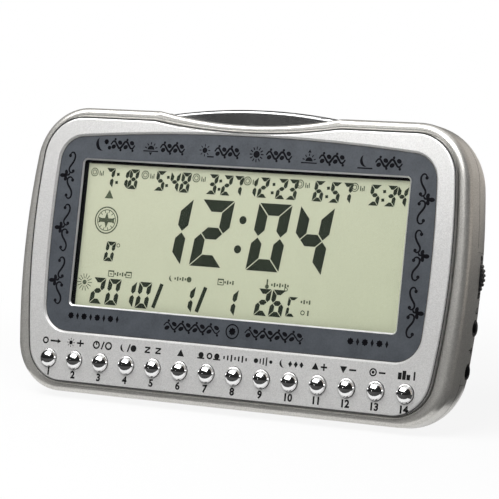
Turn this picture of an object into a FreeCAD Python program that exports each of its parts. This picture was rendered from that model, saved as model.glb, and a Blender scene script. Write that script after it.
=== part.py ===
import FreeCAD, Part
import math
import os
import re
import Sketcher

# Desk clock with a wide liquid-crystal display, fourteen chrome keys in a row and a
# light bar along the top.  All lengths are millimetres.
#
# Nearly every piece is drawn in the face frame: x runs to the right, y runs up along
# the leaning face, z comes out of the face, and 0, 0, 0 is the centre of the display
# opening in the plane of the raised front panel.  The pieces are then leaned back by
# "tilt" and lifted, so that the feet stand on z = 0 of the model.

sizes = {
    # stance
    "tilt": 11.86,              # lean of the face, degrees
    "floorGap": 1.2,            # desk to the lower edge of the case seam
    # case, seen from the front
    "caseHalfWidth": 93.2,
    "caseSideMid": -7.0,        # height of the widest place
    "caseSideRadius": 300.0,
    "caseTop": 47.6,
    "caseBottom": 60.6,
    "caseTopCorner": 22.0,
    "caseBottomCorner": 20.0,
    "scoopDeep": 4.0,           # hollow of the top edge below the shoulders
    "scoopRadius": 185.0,
    "scoopBlend": 10.0,
    # case, seen from the side
    "rimDrop": 1.6,             # rim crest below the front panel
    "grooveDrop": 3.3,          # ledge that carries the front panel
    "ledgeWidth": 2.6,
    "ledgeThick": 1.8,
    "seamDepth": 10.0,
    "pillowRadius": 25.0,
    "pillowTurn": 78.0,         # from the side wall round to the flat back, degrees
    "wall": 2.2,
    "rimRound": 3.0,
    "rimEdgeRound": 1.9,
    "scoopRound": 1.3,
    "grooveRound": 1.0,
    "seamGap": 0.15,
    # raised front panel
    "panelInset": 5.6,          # inside the case outline, at the sides
    "panelSideRadius": 287.0,
    "panelTopInset": 3.9,
    "panelBottomInset": 3.8,
    "panelTopCorner": 16.5,
    "panelBottomCorner": 15.0,
    "dipInset": 3.0,
    "dipRadius": 245.0,
    "dipBlend": 15.0,
    "panelRound": 0.9,
    "panelGap": 0.3,
    # printed plate round the display
    "plateInset": 7.9,          # inside the panel outline, at the sides
    "plateSideRadius": 420.0,
    "plateTopInset": 4.3,
    "plateArchRadius": 790.0,
    "plateKeyGap": 10.8,        # lower edge of the plate to the row of keys
    "plateCorner": 10.0,
    "plateThick": 1.0,
    "plateDrop": 0.8,
    "plateGap": 0.15,
    "plateBevel": 0.75,
    # display
    "viewInset": 10.7,          # inside the plate outline, at the sides
    "viewKeyGap": 20.25,        # lower edge of the opening to the row of keys
    "viewCorner": 2.0,
    "lipWidth": 0.5,            # panel opening behind the plate, each side
    "lensMargin": 1.9,
    "lensThick": 1.0,
    "glassMargin": 2.5,
    "glassThick": 2.2,
    "glassDrop": 3.5,
    "lightInset": 0.6,
    "lightThick": 3.0,
    "stripThick": 1.8,
    "stripInset": 0.5,
    "stripShort": 2.0,
    "holderWall": 2.4,
    "fitGap": 0.15,
    # main board
    "boardDrop": 10.0,
    "boardThick": 1.6,
    "boardInset": 12.2,
    "boardTopInset": 10.6,
    "boardKeyLap": 6.0,         # below the row of keys
    "tongueInset": 5.2,
    "tongueTop": 6.0,
    "tongueBottom": 42.6,
    "chipWide": 14.0,
    "chipTall": 14.0,
    "soundWide": 10.0,
    "soundTall": 4.0,
    "chipThick": 1.8,
    "chipAcross": 28.0,         # to the left of the centre
    "chipRow": 6.0,
    "soundAcross": 34.0,
    "soundRow": 31.0,           # below the display centre
    "crystalRadius": 1.5,
    "crystalLong": 8.0,
    "capacitorRadius": 3.15,
    "capacitorTall": 8.0,
    "capacitorAcross": 11.0,
    "capacitorRow": 22.0,
    "capacitorPitch": 8.2,
    # keys
    "keyMargin": 18.45,         # case side to the middle of the last key
    "keyInset": 12.1,           # case foot to the row of keys
    "keyRadius": 3.45,
    "keyHoleGap": 0.2,
    "keyShoulder": 0.4,
    "keyDome": 2.4,
    "keyFlange": 0.9,
    "keyFlangeThick": 0.8,
    "keyStemRadius": 1.5,
    "keyTravel": 0.8,
    "keySeatGap": 0.05,
    "switchSide": 6.0,
    "switchTall": 3.5,
    "plungerRadius": 1.6,
    "plungerTall": 0.5,
    # light bar
    "barHalfWidth": 37.0,
    "barRise": 2.9,
    "barDepth": 16.0,
    "barSink": 7.6,             # underside of the bar below the shoulders
    "barRound": 1.3,
    "barWall": 1.8,
    "barGap": 0.3,
    "barTravel": 1.2,
    "barFlange": 1.8,
    "barFlangeTall": 1.5,
    "barFlangeDepth": 10.0,
    "shelfWall": 1.6,
    "barBoardThick": 1.2,
    "barBoardWidth": 22.0,
    "barBoardDepth": 9.0,
    "barSwitchTall": 2.5,
    "barPlungerTall": 0.4,
    # volume wheel
    "wheelRadius": 10.0,
    "wheelThick": 2.4,
    "wheelProud": 0.7,
    "wheelRow": 5.0,
    "wheelDrop": 14.2,
    "wheelSlotTall": 15.2,
    "wheelSlotGap": 0.6,
    "wheelKnurl": 0.45,
    "potRadius": 5.0,
    "potTall": 2.3,
    "axleRadius": 1.5,
    "runningGap": 0.05,
    "axleHead": 2.6,
    "axleHeadThick": 0.8,
    # sockets
    "socketDrop": 15.5,
    "phoneRow": 23.0,
    "powerRow": 38.5,
    "noseRadius": 3.0,
    "noseGap": 0.15,
    "phoneBore": 1.8,
    "powerBore": 2.3,
    "powerPin": 0.8,
    "socketWidth": 8.0,
    "socketDeep": 11.0,
    "socketTall": 7.2,
    "socketBoreDeep": 12.0,
    "phoneInset": 1.2,
    "powerInset": 2.6,
    "phoneNose": 3.8,
    "powerNose": 3.9,
    "tabTop": 3.5,
    "tabBottom": 43.5,
    "tabDepth": 21.0,
    "tabWidth": 23.2,
    "tabStep": 0.05,
    "tabLap": 1.0,
    # battery bay, in the back of the case
    "cellRadius": 7.25,
    "cellLength": 50.5,
    "cellGap": 0.3,
    "bayInset": 43.7,           # case side to the middle of the bay
    "bayRise": 2.0,             # middle of the bay above the middle of the case
    "contactRoom": 2.8,
    "bayWall": 2.4,
    "bayFloor": 1.4,
    "doorThick": 1.8,
    "doorLap": 1.1,
    "doorGap": 0.3,
    "doorGripWidth": 14.0,
    "doorGripPitch": 1.8,
    "doorGripDeep": 0.6,
    "cellNub": 1.2,
    "cellNubRadius": 2.6,
    "contactThick": 0.4,
    "contactHalf": 4.5,
    "springRadius": 2.8,
    "springFoot": 3.6,
    # speaker
    "speakerGap": 3.0,          # recess of the leg to the rim of the speaker
    "speakerRise": 2.0,
    "speakerRadius": 16.5,
    "speakerRim": 2.0,
    "speakerDeep": 5.0,
    "magnetRadius": 9.0,
    "magnetDeep": 4.5,
    "coneThick": 0.6,
    "coneNeck": 5.5,
    "grilleRadius": 14.5,
    "grilleSlot": 1.6,
    "grillePitch": 3.4,
    # fold-out leg
    "legHalfWidth": 22.0,
    "legThick": 3.0,
    "legOpen": 22.0,            # degrees, from folded to open
    "legRow": 4.0,              # hinge above the display centre
    "hingeSink": 2.7,           # hinge axis below the back face
    "legKnuckle": 2.3,
    "legHeel": 3.2,
    "legGap": 0.5,
    "recessDepth": 5.6,
    "recessWall": 3.0,
    "pinRadius": 1.5,
    "padRadius": 2.5,
    "padInset": 7.5,
    "legCorner": 7.0,
    # feet and screws
    "footRadius": 4.5,
    "footTall": 2.0,
    "footInset": 31.2,
    "footBack": 8.0,            # behind the display centre, level with the desk
    "screwRadius": 1.0,
    "headRadius": 2.1,
    "headTall": 1.5,
    "driverSlotLong": 2.5,
    "driverSlotWide": 0.6,
    "driverSlotDeep": 0.75,
    "postRadius": 2.6,
    "screwGap": 0.05,
    "boardScrewLong": 5.0,
    "postGap": 1.55,            # display holder to the outer posts
    "postTop": 26.0,
    "postLow": 31.0,
    "postInner": 40.0,
    "postKeyGap": 9.1,
    "topScrewInset": 17.2,
    "topScrewDrop": 7.2,
    "lowScrewInset": 9.0,
    "lowScrewDrop": 14.6,
    "casePostRadius": 3.0,
    "casePostFront": 14.0,
    "caseSinkDepth": 17.0,
    "caseScrewLong": 7.0,
}

keyCount = 14
wheelNotches = 36

# Places that follow the sizes above, each by its own inset or gap.
derived = {
    # across
    "panelHalfWidth": "caseHalfWidth - panelInset",
    "plateHalfWidth": "panelHalfWidth - plateInset",
    "viewWidth": "2*(plateHalfWidth - viewInset)",
    "boardHalfWidth": "caseHalfWidth - boardInset",
    "tongueReach": "caseHalfWidth - tongueInset",
    "tabInner": "caseHalfWidth - tabWidth",
    "keyPitch": "2*(caseHalfWidth - keyMargin)/%d" % (keyCount - 1),
    "postAcross": "viewWidth/2 + glassMargin + fitGap + holderWall + postGap + postRadius",
    "wheelReach": "caseHalfWidth + wheelProud",
    "phoneReach": "caseHalfWidth - phoneInset",
    "powerReach": "caseHalfWidth - powerInset",
    "phoneFront": "phoneReach - phoneNose",
    "powerFront": "powerReach - powerNose",
    "bayMid": "caseHalfWidth - bayInset",
    "speakerAcross": "legHalfWidth + legGap + recessWall + speakerGap + speakerRim + speakerRadius",
    "topScrewAcross": "caseHalfWidth - topScrewInset",
    "lowScrewAcross": "caseHalfWidth - lowScrewInset",
    "footAcross": "caseHalfWidth - footInset",
    # up and down the face
    "scoopLow": "caseTop - scoopDeep",
    "panelTop": "caseTop - panelTopInset",
    "panelBottom": "caseBottom - panelBottomInset",
    "dipLow": "scoopLow - dipInset",
    "plateTop": "panelTop - plateTopInset",
    "keyRow": "caseBottom - keyInset",
    "plateBottom": "keyRow - plateKeyGap",
    "viewHeight": "2*(keyRow - viewKeyGap)",
    "boardTop": "caseTop - boardTopInset",
    "boardBottom": "keyRow + boardKeyLap",
    "postRow": "keyRow - postKeyGap",
    "bayRow": "(caseBottom - caseTop)/2 - bayRise",
    "speakerRow": "(caseBottom - caseTop)/2 - speakerRise",
    "topScrewRow": "caseTop - topScrewDrop",
    "lowScrewRow": "caseBottom - lowScrewDrop",
    # light bar: the shelf under it leaves room for its travel over the switch
    "barFoot": "caseTop - barSink",
    "shelfTop": "barFoot - barTravel - 2*runningGap - barPlungerTall - barSwitchTall - barBoardThick",
    # where the hollow of the top edge meets the level shoulders
    "scoopEdge": "sqrt((scoopRadius + scoopBlend)^2 - (scoopRadius + scoopBlend - scoopDeep)^2)",
    # back, leg and stance; the model's origin is half-way between keys and leg
    "backFace": "seamDepth + pillowRadius*sin(pillowTurn)",
    "lift": "caseBottom*cos(tilt) + seamDepth*sin(tilt) + floorGap",
    "hingeDeep": "backFace - hingeSink",
    "hingeHigh": "lift + legRow*cos(tilt) - hingeDeep*sin(tilt)",
    "hingeBack": "legRow*sin(tilt) + hingeDeep*cos(tilt)",
    "legLength": "(hingeHigh - padRadius)/cos(legOpen - tilt)",
    "padBack": "hingeBack + legLength*sin(legOpen - tilt) + padRadius",
    "keyFront": "keyRow*sin(tilt) + (keyShoulder + keyDome)*cos(tilt)",
    "originBack": "(padBack - keyFront)/2",
}
# Depths at which the rounded back is drawn, as shares of its turn.
pillowShares = (0, 0.064, 0.141, 0.244, 0.385, 0.564, 0.769, 1)

parts = []

doc = FreeCAD.newDocument("desk_clock")
sheet = doc.addObject("Spreadsheet::Sheet", "Sizes")
for row, (name, size) in enumerate(sizes.items(), start=1):
    sheet.set("A%d" % row, name)
    sheet.set("B%d" % row, repr(size))
    sheet.setAlias("B%d" % row, name)
doc.recompute()


# ---------------------------------------------------------------- sheet and placing

def spelled(text):
    """The same expression with every derived name written out."""
    return re.sub(r"[A-Za-z]\w*", lambda m: "(%s)" % spelled(derived[m[0]]) if m[0] in derived else m[0], str(text))


def bound(text):
    """The same expression with every size name pointing at the sheet."""
    return re.sub(r"[A-Za-z]\w*", lambda m: "Sizes." + m[0] if m[0] in sizes else m[0], spelled(text))


def value(text):
    return float(sheet.evalExpression(spelled(text)))


def bind(obj, **properties):
    for path, text in properties.items():
        obj.setExpression(path.replace("_", "."), bound(text))
    return obj


def add(kind, label):
    obj = doc.addObject(kind, label)
    obj.Label = label
    return obj


def place(obj, label, turn="0", y="0", z="0"):
    """Give a finished piece its name and its place; y and z are in the face frame."""
    if obj.TypeId in ("Part::Box", "Part::Cylinder"):
        obj = group(label + "_solid", obj)
    obj.Label = label
    obj.Placement = FreeCAD.Placement(FreeCAD.Vector(), FreeCAD.Rotation(FreeCAD.Vector(1, 0, 0), 90))
    obj.setExpression("Placement.Base.y", bound("(%s)*sin(tilt) - (%s)*cos(tilt) - originBack" % (y, z)))
    obj.setExpression("Placement.Base.z", bound("(%s)*cos(tilt) + (%s)*sin(tilt) + lift" % (y, z)))
    obj.setExpression("Placement.Rotation.Angle", bound("90 - tilt + (%s)" % turn))
    parts.append(obj)
    return obj


# ---------------------------------------------------------------- simple solids

def box(label, x, y, z):
    """A block between two expressions on each axis."""
    block = add("Part::Box", label)
    for side, axis, (low, high) in (("Length", "x", x), ("Width", "y", y), ("Height", "z", z)):
        block.setExpression(side, bound("(%s) - (%s)" % (high, low)))
        block.setExpression("Placement.Base." + axis, bound(low))
    return block


def rod(label, x, y, z, radius, length, axis="z"):
    """A cylinder that starts at x, y, z and runs along +axis."""
    turns = {"z": (0, 0, 1, 0), "x": (0, 1, 0, 90), "y": (1, 0, 0, -90)}
    cylinder = add("Part::Cylinder", label)
    turn = FreeCAD.Rotation(FreeCAD.Vector(*turns[axis][:3]), turns[axis][3])
    cylinder.Placement = FreeCAD.Placement(FreeCAD.Vector(), turn)
    bind(cylinder, Radius=radius, Height=length, Placement_Base_x=x, Placement_Base_y=y, Placement_Base_z=z)
    return cylinder


def fuse(label, *shapes):
    whole = add("Part::MultiFuse", label)
    whole.Shapes = list(shapes)
    return whole


def cut(label, base, *tools):
    tool = tools[0] if len(tools) == 1 else fuse(label + "_tools", *tools)
    whole = add("Part::Cut", label)
    whole.Base = base
    whole.Tool = tool
    return whole


def common(label, base, tool):
    whole = add("Part::Common", label)
    whole.Base = base
    whole.Tool = tool
    return whole


def group(label, *solids):
    """Several separate solids of one kind that share a node."""
    whole = add("Part::Compound", label)
    whole.Links = list(solids)
    return whole


# ---------------------------------------------------------------- sketches

def tie(sketch, kind, *where, name=None, size=None):
    """One constraint; with a name, its size follows an expression."""
    if size is None:
        return sketch.addConstraint(Sketcher.Constraint(kind, *where))
    index = sketch.addConstraint(Sketcher.Constraint(kind, *where, value(size)))
    sketch.renameConstraint(index, name)
    sketch.setExpression("Constraints." + name, bound(size))
    return index


def arc(centre, radius, first, last):
    circle = Part.Circle(FreeCAD.Vector(centre[0], centre[1], 0), FreeCAD.Vector(0, 0, 1), radius)
    angles = [math.atan2(p[1] - centre[1], p[0] - centre[0]) for p in (first, last)]
    return Part.ArcOfCircle(circle, angles[0], angles[1])


def line(first, last):
    return Part.LineSegment(FreeCAD.Vector(first[0], first[1], 0), FreeCAD.Vector(last[0], last[1], 0))


def toward(start, end, distance):
    span = math.dist(start, end)
    return tuple(a + (b - a) * distance / span for a, b in zip(start, end))


def mirrored(point):
    return (-point[0], point[1])


def draw_outline(sketch, shape):
    """Closed outline with bowed sides, a flat foot and a flat, arched or hollowed top."""
    side_centre = (value(shape["halfWidth"] + " - " + shape["sideRadius"]), value(shape["sideMid"]))
    side_radius = value(shape["sideRadius"])
    top = value(shape["top"])
    bottom = -value(shape["bottom"])
    low_radius = value(shape["bottomCorner"])
    high_radius = value(shape["topCorner"])

    def beside_line(height, radius):
        level = height + math.copysign(radius, -height)
        reach = side_radius - radius
        return (side_centre[0] + math.sqrt(reach ** 2 - (level - side_centre[1]) ** 2), level)

    low = beside_line(bottom, low_radius)
    if "archRadius" in shape:
        arch_radius = value(shape["archRadius"])
        arch_centre = (0.0, top - arch_radius)
        span = math.dist(arch_centre, side_centre)
        from_arch = arch_radius - high_radius
        from_side = side_radius - high_radius
        along = (from_arch ** 2 - from_side ** 2 + span ** 2) / (2 * span)
        aside = math.sqrt(from_arch ** 2 - along ** 2)
        ux, uy = ((side_centre[0]) / span, (side_centre[1] - arch_centre[1]) / span)
        foot = (ux * along, arch_centre[1] + uy * along)
        high = max((foot[0] - uy * aside, foot[1] + ux * aside), (foot[0] + uy * aside, foot[1] - ux * aside))
        high_top = toward(arch_centre, high, arch_radius)
    else:
        high = beside_line(top, high_radius)
        high_top = (high[0], top)
    low_side = toward(side_centre, low, side_radius)
    high_side = toward(side_centre, high, side_radius)
    low_foot = (low[0], bottom)

    # The pieces run counter-clockwise; each holds its geometry and its first and last ends.
    run = [
        (line(mirrored(low_foot), low_foot), 1, 2),
        (arc(low, low_radius, low_foot, low_side), 1, 2),
        (arc(side_centre, side_radius, low_side, high_side), 1, 2),
        (arc(high, high_radius, high_side, high_top), 1, 2),
    ]
    if "archRadius" in shape:
        run.append((arc(arch_centre, arch_radius, high_top, mirrored(high_top)), 1, 2))
    elif "scoopLow" in shape:
        scoop_radius = value(shape["scoopRadius"])
        blend = value(shape["scoopBlend"])
        scoop_centre = (0.0, value(shape["scoopLow"]) + scoop_radius)
        drop = scoop_centre[1] - (top - blend)
        blend_centre = (math.sqrt((scoop_radius + blend) ** 2 - drop ** 2), top - blend)
        blend_top = (blend_centre[0], top)
        meet = toward(scoop_centre, blend_centre, scoop_radius)
        run += [
            (line(high_top, blend_top), 1, 2),
            (arc(blend_centre, blend, blend_top, meet), 1, 2),
            (arc(scoop_centre, scoop_radius, mirrored(meet), meet), 2, 1),
            (arc(mirrored(blend_centre), blend, mirrored(meet), mirrored(blend_top)), 1, 2),
            (line(mirrored(blend_top), mirrored(high_top)), 1, 2),
        ]
    else:
        run.append((line(high_top, mirrored(high_top)), 1, 2))
    run += [
        (arc(mirrored(high), high_radius, mirrored(high_top), mirrored(high_side)), 1, 2),
        (arc(mirrored(side_centre), side_radius, mirrored(high_side), mirrored(low_side)), 1, 2),
        (arc(mirrored(low), low_radius, mirrored(low_side), mirrored(low_foot)), 1, 2),
    ]
    sketch.addGeometry([piece[0] for piece in run], False)
    count = len(run)
    for here in range(count):
        after = (here + 1) % count
        tie(sketch, "Tangent", here, run[here][2], after, run[after][1])
    tie(sketch, "Horizontal", 0)
    tie(sketch, "DistanceY", -1, 1, 0, 1, name="bottom", size="-(%s)" % shape["bottom"])
    tie(sketch, "Radius", 1, name="lowCorner", size=shape["bottomCorner"])
    tie(sketch, "Radius", 2, name="sideRadius", size=shape["sideRadius"])
    tie(sketch, "Radius", 3, name="highCorner", size=shape["topCorner"])
    tie(sketch, "DistanceX", -1, 1, 2, 3, name="sideCentre",
        size="%s - %s" % (shape["halfWidth"], shape["sideRadius"]))
    tie(sketch, "DistanceY", -1, 1, 2, 3, name="sideMid", size=shape["sideMid"])
    tie(sketch, "Equal", 1, count - 1)
    tie(sketch, "Equal", 2, count - 2)
    tie(sketch, "Equal", 3, count - 3)
    tie(sketch, "Symmetric", 2, 3, count - 2, 3, -2)
    if "archRadius" in shape:
        tie(sketch, "PointOnObject", 4, 3, -2)
        tie(sketch, "Radius", 4, name="arch", size=shape["archRadius"])
        tie(sketch, "DistanceY", -1, 1, 4, 3, name="archCentre",
            size="%s - %s" % (shape["top"], shape["archRadius"]))
    elif "scoopLow" in shape:
        tie(sketch, "Horizontal", 4)
        tie(sketch, "Horizontal", 8)
        tie(sketch, "DistanceY", -1, 1, 4, 1, name="top", size=shape["top"])
        tie(sketch, "DistanceY", -1, 1, 8, 1, name="topLeft", size=shape["top"])
        tie(sketch, "Radius", 5, name="blend", size=shape["scoopBlend"])
        tie(sketch, "Equal", 5, 7)
        tie(sketch, "Radius", 6, name="scoop", size=shape["scoopRadius"])
        tie(sketch, "PointOnObject", 6, 3, -2)
        tie(sketch, "DistanceY", -1, 1, 6, 3, name="scoopCentre",
            size="%s + %s" % (shape["scoopLow"], shape["scoopRadius"]))
    else:
        tie(sketch, "Horizontal", 4)
        tie(sketch, "DistanceY", -1, 1, 4, 1, name="top", size=shape["top"])
    return sketch


def grown(shape, by):
    """The outline moved outwards by an expression; a negative one moves it inwards."""
    wider = dict(shape)
    outward = ("halfWidth", "top", "bottom", "topCorner", "bottomCorner", "sideRadius", "archRadius",
               "scoopLow", "scoopBlend")
    for key in outward:
        if key in shape:
            wider[key] = "(%s + %s)" % (shape[key], by)
    if "scoopRadius" in shape:
        wider["scoopRadius"] = "(%s - %s)" % (shape["scoopRadius"], by)
    return wider


caseOutline = {"halfWidth": "caseHalfWidth", "sideMid": "caseSideMid", "sideRadius": "caseSideRadius",
               "top": "caseTop", "bottom": "caseBottom", "topCorner": "caseTopCorner",
               "bottomCorner": "caseBottomCorner"}
rimOutline = dict(caseOutline, scoopLow="scoopLow", scoopRadius="scoopRadius", scoopBlend="scoopBlend")
panelOutline = {"halfWidth": "panelHalfWidth", "sideMid": "0", "sideRadius": "panelSideRadius",
                "top": "panelTop", "bottom": "panelBottom", "topCorner": "panelTopCorner",
                "bottomCorner": "panelBottomCorner", "scoopLow": "dipLow", "scoopRadius": "dipRadius",
                "scoopBlend": "dipBlend"}
plateOutline = {"halfWidth": "plateHalfWidth", "sideMid": "0", "sideRadius": "plateSideRadius",
                "top": "plateTop", "bottom": "plateBottom", "topCorner": "plateCorner",
                "bottomCorner": "plateCorner", "archRadius": "plateArchRadius"}


def level_sketch(label, shape, z):
    """An outline that lies across the depth axis at height z."""
    sketch = add("Sketcher::SketchObject", label)
    bind(sketch, Placement_Base_z=z)
    return draw_outline(sketch, shape)


def slab(label, shape, low, high):
    """The outline as a plate between two depths."""
    sketch = level_sketch(label + "_outline", shape, low)
    plate = add("Part::Extrusion", label)
    plate.Base = sketch
    plate.DirMode = "Custom"
    plate.Dir = FreeCAD.Vector(0, 0, 1)
    plate.Solid = True
    bind(plate, LengthFwd="(%s) - (%s)" % (high, low))
    return plate


def body_sketch(body, label, role="XY_Plane", offset="0"):
    sketch = body.newObject("Sketcher::SketchObject", label)
    plane = [feature for feature in body.Origin.OriginFeatures if feature.Role == role][0]
    sketch.AttachmentSupport = [(plane, "")]
    sketch.MapMode = "FlatFace"
    sketch.setExpression("AttachmentOffset.Base.z", bound(offset))
    return sketch


def draw_loop(sketch, points):
    """A closed polygon; each corner is tied to the sketch origin by two expressions."""
    spots = [(value(x), value(y)) for x, y in points]
    count = len(spots)
    sketch.addGeometry([line(spots[i], spots[(i + 1) % count]) for i in range(count)], False)
    for i, (x, y) in enumerate(points):
        tie(sketch, "Coincident", i, 2, (i + 1) % count, 1)
        tie(sketch, "DistanceX", -1, 1, i, 1, name="across%d" % i, size=x)
        tie(sketch, "DistanceY", -1, 1, i, 1, name="up%d" % i, size=y)
    return sketch


def pad(body, sketch, label, length):
    feature = body.newObject("PartDesign::Pad", label)
    feature.Profile = sketch
    bind(feature, Length=length)
    body.Tip = feature


def pocket(body, sketch, label, length):
    feature = body.newObject("PartDesign::Pocket", label)
    feature.Profile = sketch
    bind(feature, Length=length)
    body.Tip = feature
    return feature


def along(axis):
    """A test for straight edges that run along one axis."""
    def chosen(edge):
        if len(edge.Vertexes) != 2:
            return False
        span = edge.Vertexes[1].Point - edge.Vertexes[0].Point
        straight = abs(span.Length - edge.Length) < 1e-6
        return straight and abs(abs(span[axis]) - span.Length) < 1e-6
    return chosen


def level(height):
    """A test for edges that lie in the plane at one depth."""
    return lambda edge: all(abs(v.Z - height) < 1e-4 for v in edge.Vertexes)


# ---------------------------------------------------------------- case

def pillow(label, inset, lap=None):
    """The rounded back of the case as a solid, or its hollow when inset is the wall.

    With a lap it also reaches forward of the seam, to join what lies there.
    """
    sections = []
    if lap:
        front = grown(caseOutline, "0 - (%s)" % inset)
        front["sideRadius"] = "caseSideRadius"
        sections.append(level_sketch(label + "_front", front, lap + " - seamDepth"))
    for step, share in enumerate(pillowShares):
        radius = "(pillowRadius - (%s))" % inset
        shrink = "(%s + %s*(1 - cos(%g*pillowTurn)))" % (inset, radius, share)
        shape = grown(caseOutline, "0 - " + shrink)
        shape["topCorner"] = "(caseTopCorner - (%s))" % inset
        shape["bottomCorner"] = "(caseBottomCorner - (%s))" % inset
        shape["sideRadius"] = "caseSideRadius"
        depth = "0 - (seamDepth + %s*sin(%g*pillowTurn))" % (radius, share)
        sections.append(level_sketch("%s_section_%d" % (label, step), shape, depth))
    loft = add("Part::Loft", label)
    loft.Sections = sections
    loft.Solid = True
    loft.Ruled = False
    return loft


def screw_spots():
    return [("-topScrewAcross", "topScrewRow"), ("topScrewAcross", "topScrewRow"),
            ("-lowScrewAcross", "-lowScrewRow"), ("lowScrewAcross", "-lowScrewRow")]


def tab_block(label, gap):
    """Block round the strip of the right side that carries the wheel and the sockets."""
    return box(label, ("tabInner", "caseHalfWidth + wall"), ("-tabBottom - " + gap, "tabTop + " + gap),
               ("-tabDepth - " + gap, "-seamDepth + wall"))


def make_front_frame():
    outer = slab("frame_outer", rimOutline, "-seamDepth", "-rimDrop")
    seat = slab("frame_seat", grown(panelOutline, "panelGap"), "-grooveDrop", "0")
    opening = slab("frame_opening", grown(panelOutline, "(0 - ledgeWidth)"), "-seamDepth - wall", "0")
    behind = slab("frame_behind", grown(rimOutline, "(0 - wall)"), "-seamDepth - wall",
                  "-grooveDrop - ledgeThick")
    ring = cut("frame_ring", outer, seat, opening, behind)
    doc.recompute()
    rounded = add("Part::Fillet", "frame_rounded")
    rounded.Base = ring
    rounded.Edges = rim_rounding(ring.Shape)
    tab_shell = cut("tab_shell", pillow("tab_outer", "tabStep", "tabLap"),
                    pillow("tab_inner", "wall + tabStep", "tabLap"))
    tab = common("frame_tab", tab_shell, tab_block("frame_tab_block", "0"))
    posts = [rod("frame_post_%d" % i, x, y, "-casePostFront", "casePostRadius",
                 "casePostFront - grooveDrop - ledgeThick/2") for i, (x, y) in enumerate(screw_spots())]
    pilots = [rod("frame_pilot_%d" % i, x, y, "-casePostFront - wall", "screwRadius + screwGap",
                  "caseScrewLong + wall") for i, (x, y) in enumerate(screw_spots())]
    whole = fuse("frame_whole", rounded, tab, *posts)
    slot = box("frame_wheel_slot", ("wheelReach - wheelRadius", "wheelReach + wall"),
               ("-wheelRow - wheelSlotTall/2", "-wheelRow + wheelSlotTall/2"),
               ("-wheelDrop - wheelThick - wheelSlotGap", "-wheelDrop + wheelSlotGap"))
    wheel_room = rod("frame_wheel_room", "wheelReach - wheelRadius", "-wheelRow",
                     "-wheelDrop - wheelThick - wheelSlotGap", "wheelRadius + wheelSlotGap",
                     "wheelThick + 2*wheelSlotGap")
    key_rooms = [rod("frame_key_room_%d" % i, *key_spots()[i], "-grooveDrop - ledgeThick - wall",
                     "keyRadius + keyFlange + panelGap", "ledgeThick + 2*wall") for i in (0, -1)]
    noses = [rod("frame_nose_hole_%d" % i, "caseHalfWidth - 3*wall", "-" + at, "-socketDrop",
                 "noseRadius + noseGap", "4*wall", axis="x") for i, at in enumerate(("phoneRow", "powerRow"))]
    frame = cut("frame_finished", whole, slot, wheel_room, *key_rooms, *noses, *pilots)
    return place(frame, "front_frame")


def rim_rounding(shape):
    """Edge numbers and radii: wide sides take a big round, the hollow top a small one."""
    crest = -value("rimDrop")
    picked = []
    for number, edge in enumerate(shape.Edges, start=1):
        if not all(abs(v.Z - crest) < 1e-4 for v in edge.Vertexes):
            continue
        ends = [edge.Vertexes[0].Point, edge.Vertexes[-1].Point]
        outside = is_outer(edge.valueAt((edge.FirstParameter + edge.LastParameter) / 2))
        if outside:
            radii = [rim_radius(point) for point in ends]
        else:
            radii = [value("grooveRound")] * 2
        picked.append((number, radii[0], radii[1]))
    return picked


def is_outer(point):
    """True nearer the case's own outline than the front panel's."""
    middle = (value("caseHalfWidth") + value("panelHalfWidth")) / 2
    if abs(point.x) > middle:
        return True
    if point.y < -(value("caseBottom") + value("panelBottom")) / 2:
        return True
    lip = (value("scoopLow") + value("dipLow")) / 2
    shoulder = (value("caseTop") + value("panelTop")) / 2
    if abs(point.x) < value("scoopEdge"):
        return point.y > lip + (shoulder - lip) * (abs(point.x) / value("scoopEdge")) ** 2
    if point.y > shoulder:
        return True
    corner = value("caseHalfWidth - caseTopCorner"), value("caseTop - caseTopCorner")
    reach = math.dist((abs(point.x), point.y), corner)
    if point.y > corner[1] and abs(point.x) > corner[0]:
        return reach > value("caseTopCorner") - (value("caseHalfWidth") - middle)
    corner = value("caseHalfWidth - caseBottomCorner"), -value("caseBottom - caseBottomCorner")
    reach = math.dist((abs(point.x), point.y), corner)
    if point.y < corner[1] and abs(point.x) > corner[0]:
        return reach > value("caseBottomCorner") - (value("caseHalfWidth") - middle)
    return False


def rim_radius(point):
    if abs(point.x) > value("caseHalfWidth - caseTopCorner/2"):
        return value("rimRound")
    blend_middle = value("scoopEdge*(scoopRadius + scoopBlend/2)/(scoopRadius + scoopBlend)")
    if point.y > 0 and abs(point.x) < blend_middle:
        return value("scoopRound")
    return value("rimEdgeRound")


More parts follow.
